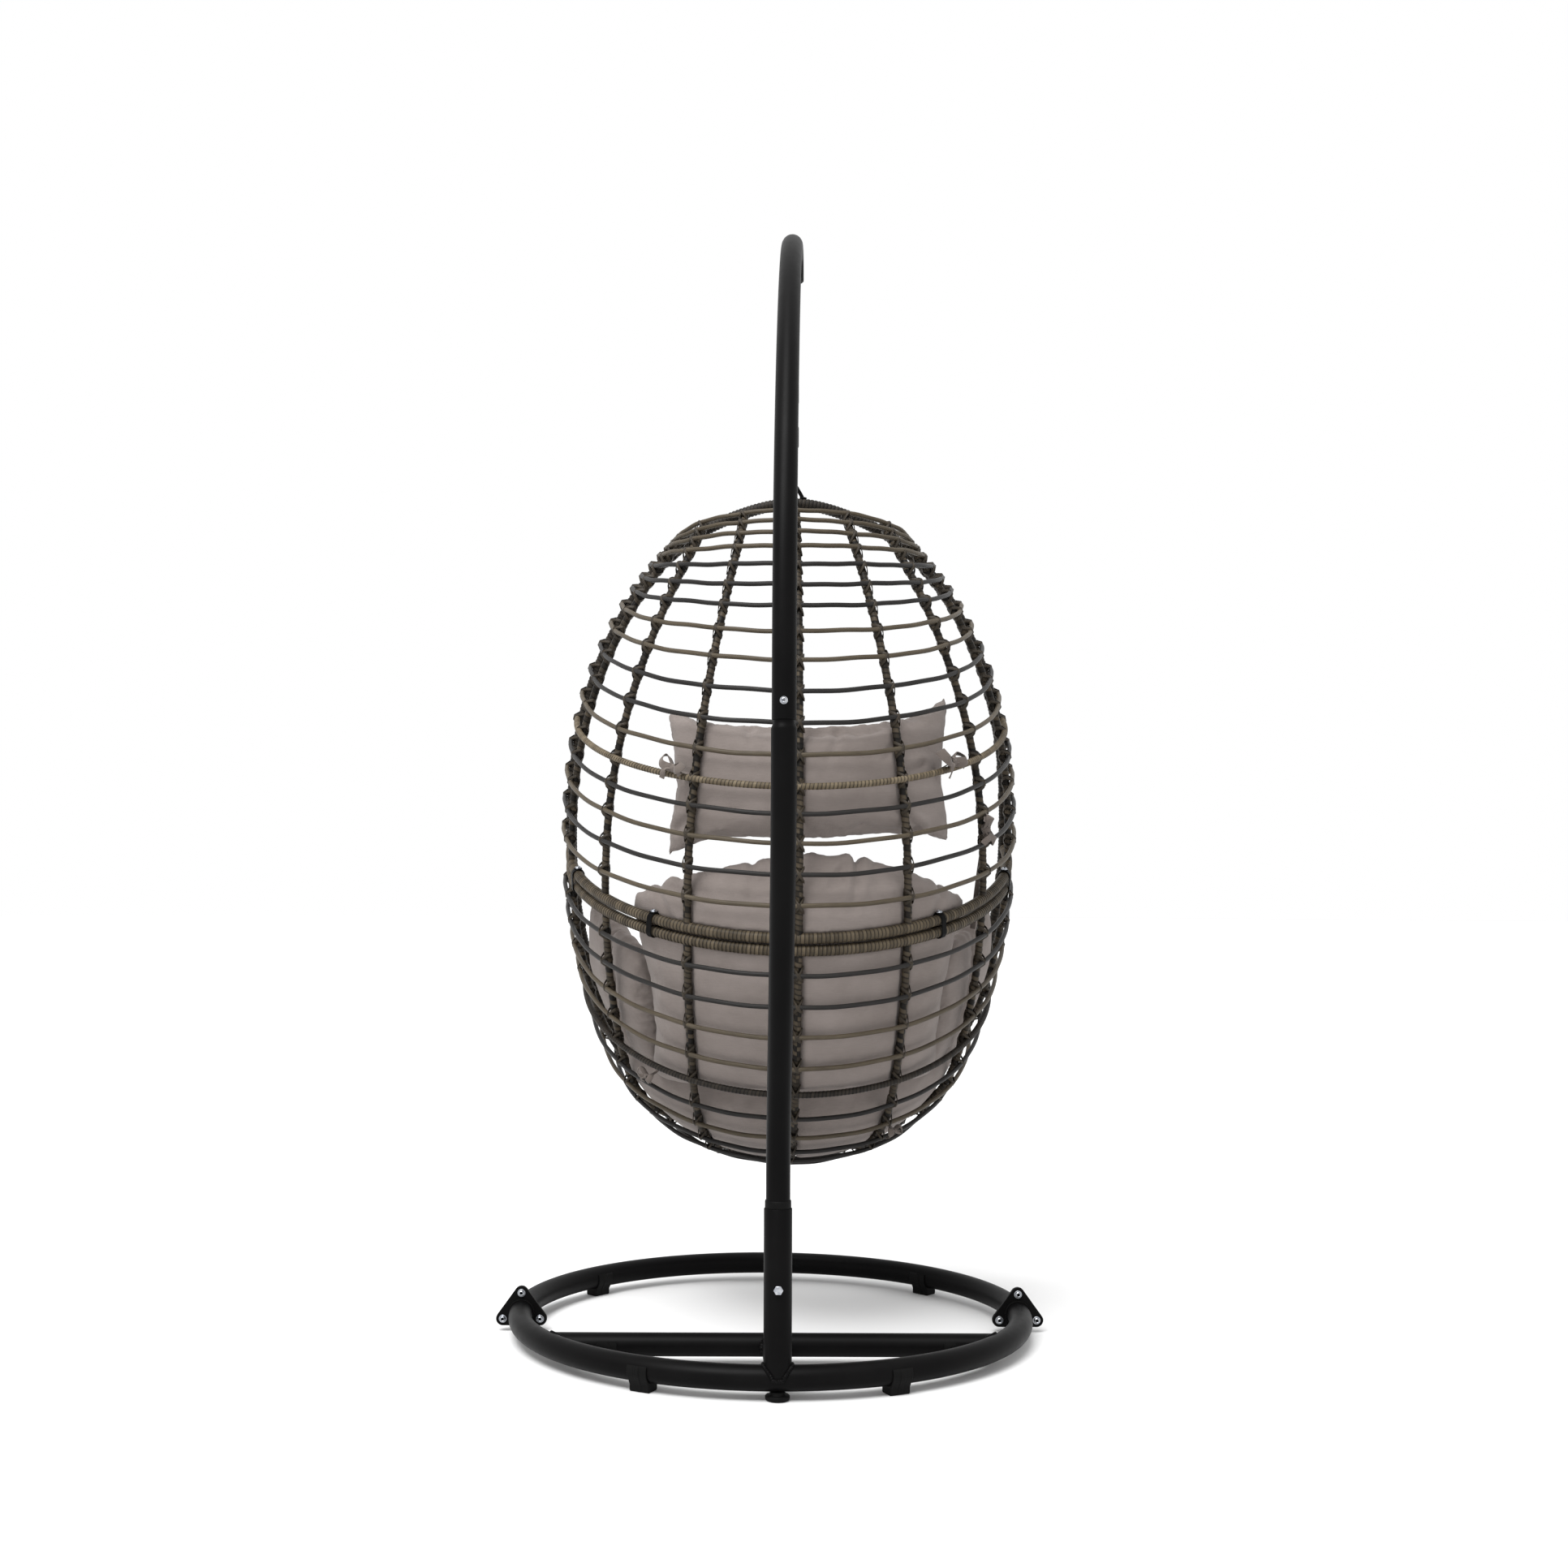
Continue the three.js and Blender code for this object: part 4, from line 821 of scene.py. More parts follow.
def make_chain():
    """Seven links; each has a weld at the middle of one side."""
    wire, half_width = 0.00275, 0.0075
    for index in range(1, 8):
        node = f"chain_link_{index}"
        low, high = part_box(node)
        centre = np.array([HANG_X, HANG_Y, (low.z + high.z) / 2])
        across = X if index % 2 else Y
        centres = drawn_ring(centre, across, half_width, high.z - low.z - 2 * wire, 72)
        radii = np.full(len(centres), wire)
        beside = (centres - centre) @ across > 0
        near_weld = np.abs(centres[:, 2] - centre[2]) < 0.0165
        radii[beside & near_weld] += 0.00025
        body = {1: "chain_top", 2: "chain_mid", 3: "chain_mid", 4: "chain_mid"}.get(index, "chain_low")
        plane = np.cross(across, Z)
        shape = tube(centres, radii, 16, plane, closed=True)
        weld = spun([(0.0024, -0.001), (0.0033, -0.0004), (0.0033, 0.0004), (0.0024, 0.001)],
                    centre + half_width * across, Z, 20)
        build(f"link_{index}", [shape, weld], STEEL, body, [node])


def make_carabiner():
    low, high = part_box("carabiner_body")
    gate_low, gate_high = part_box("carabiner_gate")
    wire, half_width = 0.004, 0.013
    middle = (low.z + high.z) / 2
    centre = np.array([HANG_X, HANG_Y, middle])
    ring = drawn_ring(centre, Y, half_width, high.z - low.z - 2 * wire, 96)
    gate_side = (ring[:, 1] > HANG_Y + 0.9 * half_width) & (np.abs(ring[:, 2] - middle) < 0.0280)
    start = np.flatnonzero(gate_side).max() + 1 if gate_side[0] else 0
    rest = np.roll(ring, -start, axis=0)[: len(ring) - gate_side.sum()]
    gate_line = centre + half_width * Y
    half_gate = (gate_high.z - gate_low.z) / 2 + 0.0003
    top_end, bottom_end = gate_line + half_gate * Z, gate_line - half_gate * Z
    ends = (top_end, bottom_end) if rest[0][2] > middle else (bottom_end, top_end)
    centres = np.vstack([ends[0], rest, ends[1]])
    radii = np.full(len(centres), wire)
    radii[[0, -1]] = wire * 0.86
    pin = np.array([HANG_X, PIVOT["gate_opening"][1], PIVOT["gate_opening"][2]])
    ear = spun([(0.0012, -0.0046), (0.0021, -0.0044), (0.0021, 0.0044), (0.0012, 0.0046)], pin, X, 20)
    build("carabiner_ring", [tube(centres, radii, 20, X), ear], ZINC, "carabiner", ["carabiner_body"])

    gate = [(0.0008, 0), (0.0022, 0.0004), (0.0030, 0.0014), (0.0034, 0.0034), (0.0034, 0.0080)]
    gate += [(0.0029, 0.0088), (0.0029, 0.0215), (0.0034, 0.0225), (0.0034, 0.0306)]
    gate += [(0.0030, 0.0326), (0.0022, 0.0336), (0.0008, 0.0340)]
    base = gate_line + (gate_low.z - middle) * Z
    build("snap_gate", [spun(gate, base, Z, 24)], ZINC, "gate", ["carabiner_gate"])


make_ring()
make_flanges()
make_crossbar()
make_feet()
make_socket()
make_socket_bolt()
make_post()
make_arm()
make_tip()
make_chain()
make_carabiner()

# ---------------------------------------------------------------- the basket's shape

HOOP_TUBE = 0.010
APEX = np.array([HANG_X, HANG_Y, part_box("hoop_upper")[1].z - HOOP_TUBE])

# Half of the front hoop from its apex to its lowest point (x, y, z from the apex), and the back's outline
# in the middle plane (y, z).
HOOP_SIDE = [
    (0.101, -0.009, -0.020), (0.201, -0.027, -0.070), (0.288, -0.056, -0.160), (0.359, -0.095, -0.285),
    (0.401, -0.141, -0.420), (0.418, -0.190, -0.560), (0.416, -0.235, -0.710), (0.391, -0.277, -0.850),
    (0.352, -0.310, -0.972), (0.283, -0.338, -1.070), (0.188, -0.357, -1.137), (0.097, -0.366, -1.164),
]
HOOP_BOTTOM = (0, -0.368, -1.172)
BACK_LINE = [
    (0, 0), (0.093, -0.034), (0.184, -0.117), (0.250, -0.232), (0.293, -0.382), (0.310, -0.552),
    (0.307, -0.712), (0.279, -0.862), (0.218, -1.012), (0.113, -1.132), (-0.020, -1.196),
    (-0.140, -1.208), (-0.260, -1.198), (-0.368, -1.172),
]
OTHER_SIDE = [(-x, y, z) for x, y, z in reversed(HOOP_SIDE)]
HOOP = Route(through([(0, 0, 0), *HOOP_SIDE, HOOP_BOTTOM, *OTHER_SIDE], True))
BACK = Route(through([(0, y, z) for y, z in BACK_LINE]))

FIRST_SLAT, LAST_SLAT = 0.108, 0.872            # along the back, from the apex
FIRST_SLAT_SIDE, LAST_SLAT_SIDE = 0.222, 0.822  # along the hoop, from the apex
UPPER_RIM, UPPER_RIM_SIDE = 0.921, 0.859
LOWER_RIM, LOWER_RIM_SIDE = UPPER_RIM + 0.021, UPPER_RIM_SIDE + 0.025
HALVES = ((True, "upper"), (False, "lower"))
RIM_TUBE = 0.009
RIB_TUBE = 0.006
RIB_ANGLES = np.radians([-78, -53, -26.5, 0, 26.5, 53, 78])
# How far down its half each slat is; they were tied by hand and are not quite even.
UPPER_ROWS = [0.012, 0.058, 0.105, 0.155, 0.211, 0.268, 0.323, 0.386, 0.453, 0.524,
              0.595, 0.665, 0.733, 0.792, 0.856, 0.924, 0.991]
LOWER_ROWS = [0.046, 0.110, 0.173, 0.241, 0.305, 0.374, 0.441, 0.512, 0.586, 0.662, 0.740, 0.820, 0.900]
UPPER_BAND, LOWER_BAND = 12, 4
SIDE_BUNCHING = 1.45                             # the upper slats lie closer together near the hoop's top
SLAT_TUBE = 0.0041
RIB_WRAP = 0.0011                                # how far the wicker stands out from a rib
SLAT_OUTSET = RIB_TUBE + RIB_WRAP + SLAT_TUBE - 0.0004


def upper_level(fraction):
    """The back's and the side's point of one level of the upper half: 0 at the first slat, 1 at the last."""
    back = BACK.at(FIRST_SLAT + (LAST_SLAT - FIRST_SLAT) * fraction)
    bunched = np.maximum(fraction, 0) ** SIDE_BUNCHING
    side = HOOP.at(FIRST_SLAT_SIDE + (LAST_SLAT_SIDE - FIRST_SLAT_SIDE) * bunched)
    return back, side


def lower_level(fraction):
    """The same for the lower half: 0 at the lower rim, 1 at the hoop's lowest point."""
    back = BACK.at(LOWER_RIM + (BACK.length - LOWER_RIM) * fraction)
    side = HOOP.at(LOWER_RIM_SIDE + (HOOP.length / 2 - LOWER_RIM_SIDE) * fraction)
    return back, side


def rim_level(upper):
    along_back, along_hoop = (UPPER_RIM, UPPER_RIM_SIDE) if upper else (LOWER_RIM, LOWER_RIM_SIDE)
    return BACK.at(along_back), HOOP.at(along_hoop)


def round_the_basket(level, angle):
    """A level's point at an angle round the basket: 0 at the back, a quarter turn at the hoop."""
    back, side = level
    across, behind = np.sin(angle)[..., None], np.cos(angle)[..., None]
    flat = side + (back - side) * behind
    flat[..., 0] = side[..., 0] * across[..., 0]
    return APEX + flat


def surface(level_at, fraction, angle):
    """Places on the basket's surface, with their outward directions."""
    fraction, angle = np.broadcast_arrays(np.asarray(fraction, float), np.asarray(angle, float))
    step = 0.004
    place = round_the_basket(level_at(fraction), angle)
    down = round_the_basket(level_at(np.minimum(1, fraction + step)), angle)
    up = round_the_basket(level_at(np.maximum(0, fraction - step)), angle)
    right = round_the_basket(level_at(fraction), angle + step)
    left = round_the_basket(level_at(fraction), angle - step)
    return place, unit(np.cross(right - left, down - up))


def spread_angle(angle, fraction):
    """Towards the bottom the ribs spread, so that they meet the hoop side by side."""
    return np.sign(angle) * np.minimum(np.abs(angle) * (1 + 0.4 * fraction**2), math.radians(84))


def hoop_beside(x, near_apex):
    """The hoop's point that lies x to the side, near its apex or near its lowest point."""
    along = np.linspace(0, 0.3, 400)
    places = HOOP.at(along if near_apex else HOOP.length / 2 - along)
    found = places[np.argmin(np.abs(places[:, 0] - abs(x)))].copy()
    found[0] = x
    return APEX + found


def rib_line(upper, angle):
    if upper:
        fractions = np.linspace(0, 1, 9)
        places = [round_the_basket(upper_level(f), np.array(angle)) for f in fractions]
        places.insert(0, hoop_beside((places[0][0] - APEX[0]) * 1.05, True))
        places.append(round_the_basket(rim_level(True), np.array(angle)))
    else:
        fractions = 0.92 * np.arange(1, 9) / 8
        places = [round_the_basket(rim_level(False), np.array(angle))]
        places += [round_the_basket(lower_level(f), spread_angle(angle, f)) for f in fractions]
        places.append(hoop_beside((places[-1][0] - APEX[0]) * 1.05, False))
    return Route(through(places))


def wound(route, start, end, radius, pitch, lift, sides, reference=None, lean=1.0):
    """A tube wound with a flat strand: each turn stands out in its middle, with a groove beside the next."""
    count = int(round((end - start) / pitch * ROWS_PER_TURN))
    along = np.linspace(start, end, count)
    turn = np.arange(sides) / sides
    place = (along[:, None] / pitch + lean * turn[None, :]) % 1
    crown = 1 - np.abs(2 * place - 1) ** 4
    centres = route.at(along)
    if reference is None:
        reference = outward_from(centres)
    return tube(centres, radius + lift * crown, sides, reference)


# ---------------------------------------------------------------- hoop, rims, ribs and bands


def make_hoops():
    middle = (UPPER_RIM_SIDE + LOWER_RIM_SIDE) / 2
    points = APEX + HOOP.points
    twice = Route(np.vstack([points, points[1:]]))
    gap = 0.0003
    for half, start, end in (("upper", HOOP.length - middle, HOOP.length + middle),
                             ("lower", middle, HOOP.length - middle)):
        shape = wound(twice, start + gap, end - gap, HOOP_TUBE - 0.0008, WOUND_PITCH, 0.0014, 14, Y)
        build(f"hoop_wound_{half}", [shape], DARK_WOUND, "basket", [f"hoop_{half}"], 60)


def make_rims():
    angles = np.linspace(-np.pi / 2 + 0.02, np.pi / 2 - 0.02, 400)
    for upper, name in HALVES:
        route = Route(round_the_basket(rim_level(upper), angles))
        shape = wound(route, 0, route.length, RIM_TUBE - 0.0009, RIM_PITCH, 0.0014, 14, Z, RIM_LEAN)
        build(f"rim_wound_{name}", [shape], RIM_WOUND, "basket", [f"rim_{name}"], 60)


def outward_from(points):
    """Roughly square to the basket, for the tubes that lie in it."""
    return unit((points - (APEX + np.array([0, -0.05, -0.62]))) * (1, 1, 0.5))


def make_ribs():
    for upper, name in HALVES:
        for index, angle in enumerate(RIB_ANGLES, 1):
            route = rib_line(upper, angle)
            shape = wound(route, 0, route.length, RIB_TUBE, RIB_PITCH, RIB_WRAP, 10)
            replaced = [f"ribs_{name}"] if index == 4 else []
            build(f"rib_{name}_{index}", [shape], RIB_WOUND, "basket", replaced, 60)


def make_bands():
    angles = np.linspace(-np.pi / 2 + 0.015, np.pi / 2 - 0.015, 500)
    for name, level_at, fraction, material in (
        ("upper", upper_level, UPPER_ROWS[UPPER_BAND], LIGHT_WOUND),
        ("lower", lower_level, LOWER_ROWS[LOWER_BAND], DARK_WOUND),
    ):
        place, outward = surface(level_at, fraction, angles)
        route = Route(place + SLAT_OUTSET * outward)
        shape = wound(route, 0, route.length, 0.0046, WOUND_PITCH, 0.0012, 12, Z)
        build(f"band_{name}", [shape], material, "basket", smooth_angle=60)


# Which upper and lower slats are of the light rattan; the others are dark.
LIGHT_UPPER = {0, 1, 2, 3, 7, 8, 11, 14, 16}
LIGHT_LOWER = {2, 3, 6}
HOOK_RADIUS = HOOP_TUBE + SLAT_TUBE + 0.0004


def slat(upper, index):
    """One round slat, bowed slightly between the ribs, that hooks round the hoop at both ends."""
    angles = np.radians(np.linspace(-88.5, 88.5, 76))
    level_at = upper_level if upper else lower_level
    fraction = (UPPER_ROWS if upper else LOWER_ROWS)[index]
    place, outward = surface(level_at, fraction, angles)
    near_end = smoothstep((np.abs(angles) - math.radians(79)) / math.radians(9))
    wobble = 0.0007 * np.sin(angles * 9 + index * 1.3) + 0.0005 * np.sin(angles * 21 + index)
    outset = SLAT_OUTSET + (HOOK_RADIUS - SLAT_OUTSET) * near_end
    centres = place + outset[:, None] * outward + wobble[:, None] * Z
    hooks = []
    for sign in (-1, 1):
        turns = np.radians(np.linspace(8, 118, 12))[:, None]
        middle, normal = surface(level_at, fraction, sign * math.pi / 2)
        beside, _ = surface(level_at, fraction, sign * (math.pi / 2 - 0.02))
        onward = unit(middle - beside)
        onward = unit(onward - (onward @ normal) * normal)
        hooks.append(middle + HOOK_RADIUS * (np.cos(turns) * normal + np.sin(turns) * onward))
    centres = np.vstack([hooks[0][::-1], centres, hooks[1]])
    return tube(centres, SLAT_TUBE, 10, outward_from(centres))


def make_slats():
    for upper, name, rows, light, band in (
        (True, "upper", UPPER_ROWS, LIGHT_UPPER, UPPER_BAND),
        (False, "lower", LOWER_ROWS, LIGHT_LOWER, LOWER_BAND),
    ):
        for index in range(len(rows)):
            if index == band:
                continue
            material = TAUPE_SLAT if index in light else DARK_SLAT
            replaced = [f"weave_{name}"] if index == 0 else []
            build(f"slat_{name}_{index + 1}", [slat(upper, index)], material, "basket", replaced, 60)


def lashing(place, outward, along_slat, along_rib, radius, over):
    """Two crossed loops of flat rattan that tie a slat to the tube under it."""
    turns = np.linspace(0, 2 * np.pi, 14, endpoint=False)
    cosine, sine = np.cos(turns)[:, None], np.sin(turns)[:, None]
    front = over * (1 - np.abs(cosine) ** 1.7)
    back = -(radius + 0.0008) * (1 - np.abs(cosine) ** 2.4)
    loops = []
    for sign in (1, -1):
        diagonal = (radius + 0.0013) * along_slat + sign * 0.0125 * along_rib
        depth = np.where(sine > 0, front * (1 + 0.03 * sign), back)
        centres = place + cosine * diagonal + depth * outward
        loops.append(strap(centres, 0.0054, 0.0013, cosine * along_slat + sine * outward, closed=True))
    return loops


def lash_rows(name, upper, angle, rows, radius, over):
    """The lashings of one rib, or of one side of the hoop."""
    level_at = upper_level if upper else lower_level
    step = 0.01
    at_hoop = abs(angle) > 1.5

    def turned(fraction):
        return angle if upper or at_hoop else spread_angle(angle, fraction)

    loops = []
    for fraction in rows:
        place, outward = surface(level_at, fraction, turned(fraction))
        beside, _ = surface(level_at, fraction, turned(fraction) - math.copysign(step, angle))
        onward = min(1, fraction + step)
        below, _ = surface(level_at, onward, turned(onward))
        along_slat, along_rib = unit(beside - place), unit(below - place)
        along_slat = unit(along_slat - (along_slat @ outward) * outward)
        along_rib = unit(along_rib - (along_rib @ outward) * outward)
        loops += lashing(place, outward, along_slat, along_rib, radius, over)
    build(name, loops, LASHING, "basket", smooth_angle=50)


def make_lashings():
    over_slat = SLAT_TUBE + 0.0006
    for upper, name, rows in ((True, "upper", UPPER_ROWS), (False, "lower", LOWER_ROWS[:-1])):
        for column, angle in enumerate(RIB_ANGLES, 1):
            over = SLAT_OUTSET + over_slat
            lash_rows(f"lashings_{name}_{column}", upper, angle, rows, RIB_TUBE + RIB_WRAP, over)
        for side, angle in (("left", math.pi / 2), ("right", -math.pi / 2)):
            over = HOOK_RADIUS + over_slat
            lash_rows(f"hoop_lashings_{name}_{side}", upper, angle, rows, HOOP_TUBE + 0.0004, over)


def make_clamps():
    """Black straps round both rims, each closed by a domed screw."""
    angles = np.linspace(-np.pi / 2, np.pi / 2, 2000)
    top_line = round_the_basket(rim_level(True), angles)
    for index in range(1, 5):
        node = f"rim_clamp_{index}"
        x = box_middle(node)[0]
        nearest = np.argmin(np.abs(top_line[:, 0] - x))
        top = top_line[nearest]
        along = unit(top_line[min(nearest + 1, len(angles) - 1)] - top_line[nearest - 1])
        bottom = round_the_basket(rim_level(False), angles[nearest])
        up = top - bottom
        half = np.linalg.norm(up) / 2
        up = unit(up - (up @ along) * along)
        out = np.cross(along, up)
        middle = (top + bottom) / 2
        radius = RIM_TUBE + 0.0018
        upper_arc = arc(middle + half * up, out, up, radius, 0, np.pi, 24)
        lower_arc = arc(middle - half * up, out, up, radius, np.pi, 2 * np.pi, 24)
        centres = np.vstack([upper_arc, lower_arc])
        towards = np.vstack([upper_arc - (middle + half * up), lower_arc - (middle - half * up)])
        band = strap(centres, 0.012, 0.0022, towards, closed=True)
        crown = middle + (half + radius + 0.0008) * up
        tab = [(0.0005, -0.001), (0.0075, -0.001), (0.0078, 0.0002), (0.0070, 0.0014), (0.0005, 0.0014)]
        build(f"clamp_band_{index}", [band, spun(tab, crown, up)], STEEL, "basket", [node])
        screw = button_screw(crown + 0.0012 * up, up, 0.0048, 0.0036, 0.0019)
        build(f"clamp_screw_{index}", screw, ZINC, "basket")


def make_loop():
    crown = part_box("basket_loop")[1].z - 0.0035 - APEX[2]
    foot = HOOP_TUBE + 0.0014
    half = [(0.0045, crown), (0.010, crown - 0.0078), (0.017, foot), (0.022, foot - 0.014)]
    points = [(-x, 0, z) for x, z in reversed(half)] + [(x, 0, z) for x, z in half]
    centres = APEX + through(points, per_span=14)
    feet = [bead(APEX + np.array([(sign * 0.0185 + 0.0052 * math.cos(a), 0.0052 * math.sin(a), HOOP_TUBE)
                                  for a in np.linspace(0, 2 * np.pi, 40, endpoint=False)]), 0.0016, True)
            for sign in (-1, 1)]
    build("loop_wire", [tube(centres, 0.0035, 16, Y), *feet], STEEL, "basket", ["basket_loop"])


make_hoops()
make_rims()
make_ribs()
make_bands()
make_slats()
make_lashings()
make_clamps()
make_loop()

# ---------------------------------------------------------------- cushions

CUSHION_REACH = math.radians(82)
SEAM_SHARE = 0.35         # the part of a pad's thickness that is behind its seam
SEAM_HALF = 0.004         # half of a pad's thickness at its seam
METRES_PER_RADIAN = 0.35  # about how far a radian round the basket is
FRONT_DEPTH = 0.06        # cloth deeper than this faces the open front, and isn't pressed against the basket
CLOTH_STEPS = 20


def level_down(along):
    """The level whose back point lies this far down the back's line."""
    fraction = np.clip((along - FIRST_SLAT) / (LAST_SLAT - FIRST_SLAT), 0, 1)
    upper = FIRST_SLAT_SIDE + (LAST_SLAT_SIDE - FIRST_SLAT_SIDE) * fraction**SIDE_BUNCHING
    marks = [LAST_SLAT, UPPER_RIM, LOWER_RIM, BACK.length]
    lower = np.interp(along, marks, [LAST_SLAT_SIDE, UPPER_RIM_SIDE, LOWER_RIM_SIDE, HOOP.length / 2])
    return BACK.at(along), HOOP.at(np.where(along < LAST_SLAT, upper, lower))


def lining(along, angle):
    """Places on the basket's surface, with the directions outward, across and down it."""
    along, angle = np.broadcast_arrays(np.asarray(along, float), np.asarray(angle, float))
    step, turn = 0.004, 0.01
    level = level_down(along)
    below, above = (round_the_basket(level_down(along + sign * step), angle) for sign in (1, -1))
    after, before = (round_the_basket(level, angle + sign * turn) for sign in (1, -1))
    down, across = below - above, after - before
    outward = unit(np.cross(across, down))
    return round_the_basket(level, angle), outward, across / (2 * turn), down / (2 * step)


class Lining:
    """Finds a point's place on the basket's surface: how far down, at what angle, and how deep inside."""

    def __init__(self):
        levels, turns = np.arange(0.48, 1.75, 0.008), np.arange(-CUSHION_REACH, CUSHION_REACH, 0.02)
        along, angle = np.meshgrid(levels, turns)
        self.along, self.angle = along.ravel(), angle.ravel()
        self.place, self.outward, self.across, self.down = lining(self.along, self.angle)
        self.tree = KDTree(len(self.place))
        for index, place in enumerate(self.place):
            self.tree.insert(place, index)
        self.tree.balance()

    def find(self, points):
        index = np.array([self.tree.find(point)[1] for point in points])
        offset = points - self.place[index]
        across, down = self.across[index], self.down[index]
        angle = self.angle[index] + (offset * across).sum(1) / (across**2).sum(1)
        along = self.along[index] + (offset * down).sum(1) / (down**2).sum(1)
        outward = self.outward[index]
        depth = -(offset * outward).sum(1)
        return along, angle, depth, outward, np.linalg.norm(across, axis=1)


LINING = Lining()
UPPER_SLAT_PLACES = FIRST_SLAT + (LAST_SLAT - FIRST_SLAT) * np.array(UPPER_ROWS)
LOWER_SLAT_PLACES = LOWER_RIM + (BACK.length - LOWER_RIM) * np.array(LOWER_ROWS)
SLAT_PLACES = np.concatenate([UPPER_SLAT_PLACES, LOWER_SLAT_PLACES])
RIM_MIDDLE = (UPPER_RIM + LOWER_RIM) / 2


def least_depth(along, angle, spread):
    """How deep inside the basket the cloth must stay: behind ribs and rims, and just inside the slats."""
    fraction = np.clip((along - LOWER_RIM) / (BACK.length - LOWER_RIM), 0, 1)
    turned = spread_angle(RIB_ANGLES[:, None], fraction[None, :])
    to_rib = np.abs(angle - turned).min(axis=0) * spread
    to_slat = np.abs(along[None, :] - SLAT_PLACES[:, None]).min(axis=0)
    to_rim = np.maximum(0, np.abs(along - RIM_MIDDLE) - 0.0105)
    free = -0.0065 + 0.0042 * np.exp(-((to_slat / 0.008) ** 2))
    at_rib = 0.0092 * np.exp(-((to_rib / 0.0125) ** 4)) + free * (1 - np.exp(-((to_rib / 0.022) ** 2)))
    at_rim = 0.0115 * np.exp(-((to_rim / 0.010) ** 4)) - 0.007 * (1 - np.exp(-((to_rim / 0.010) ** 4)))
    return np.maximum(at_rib, at_rim)


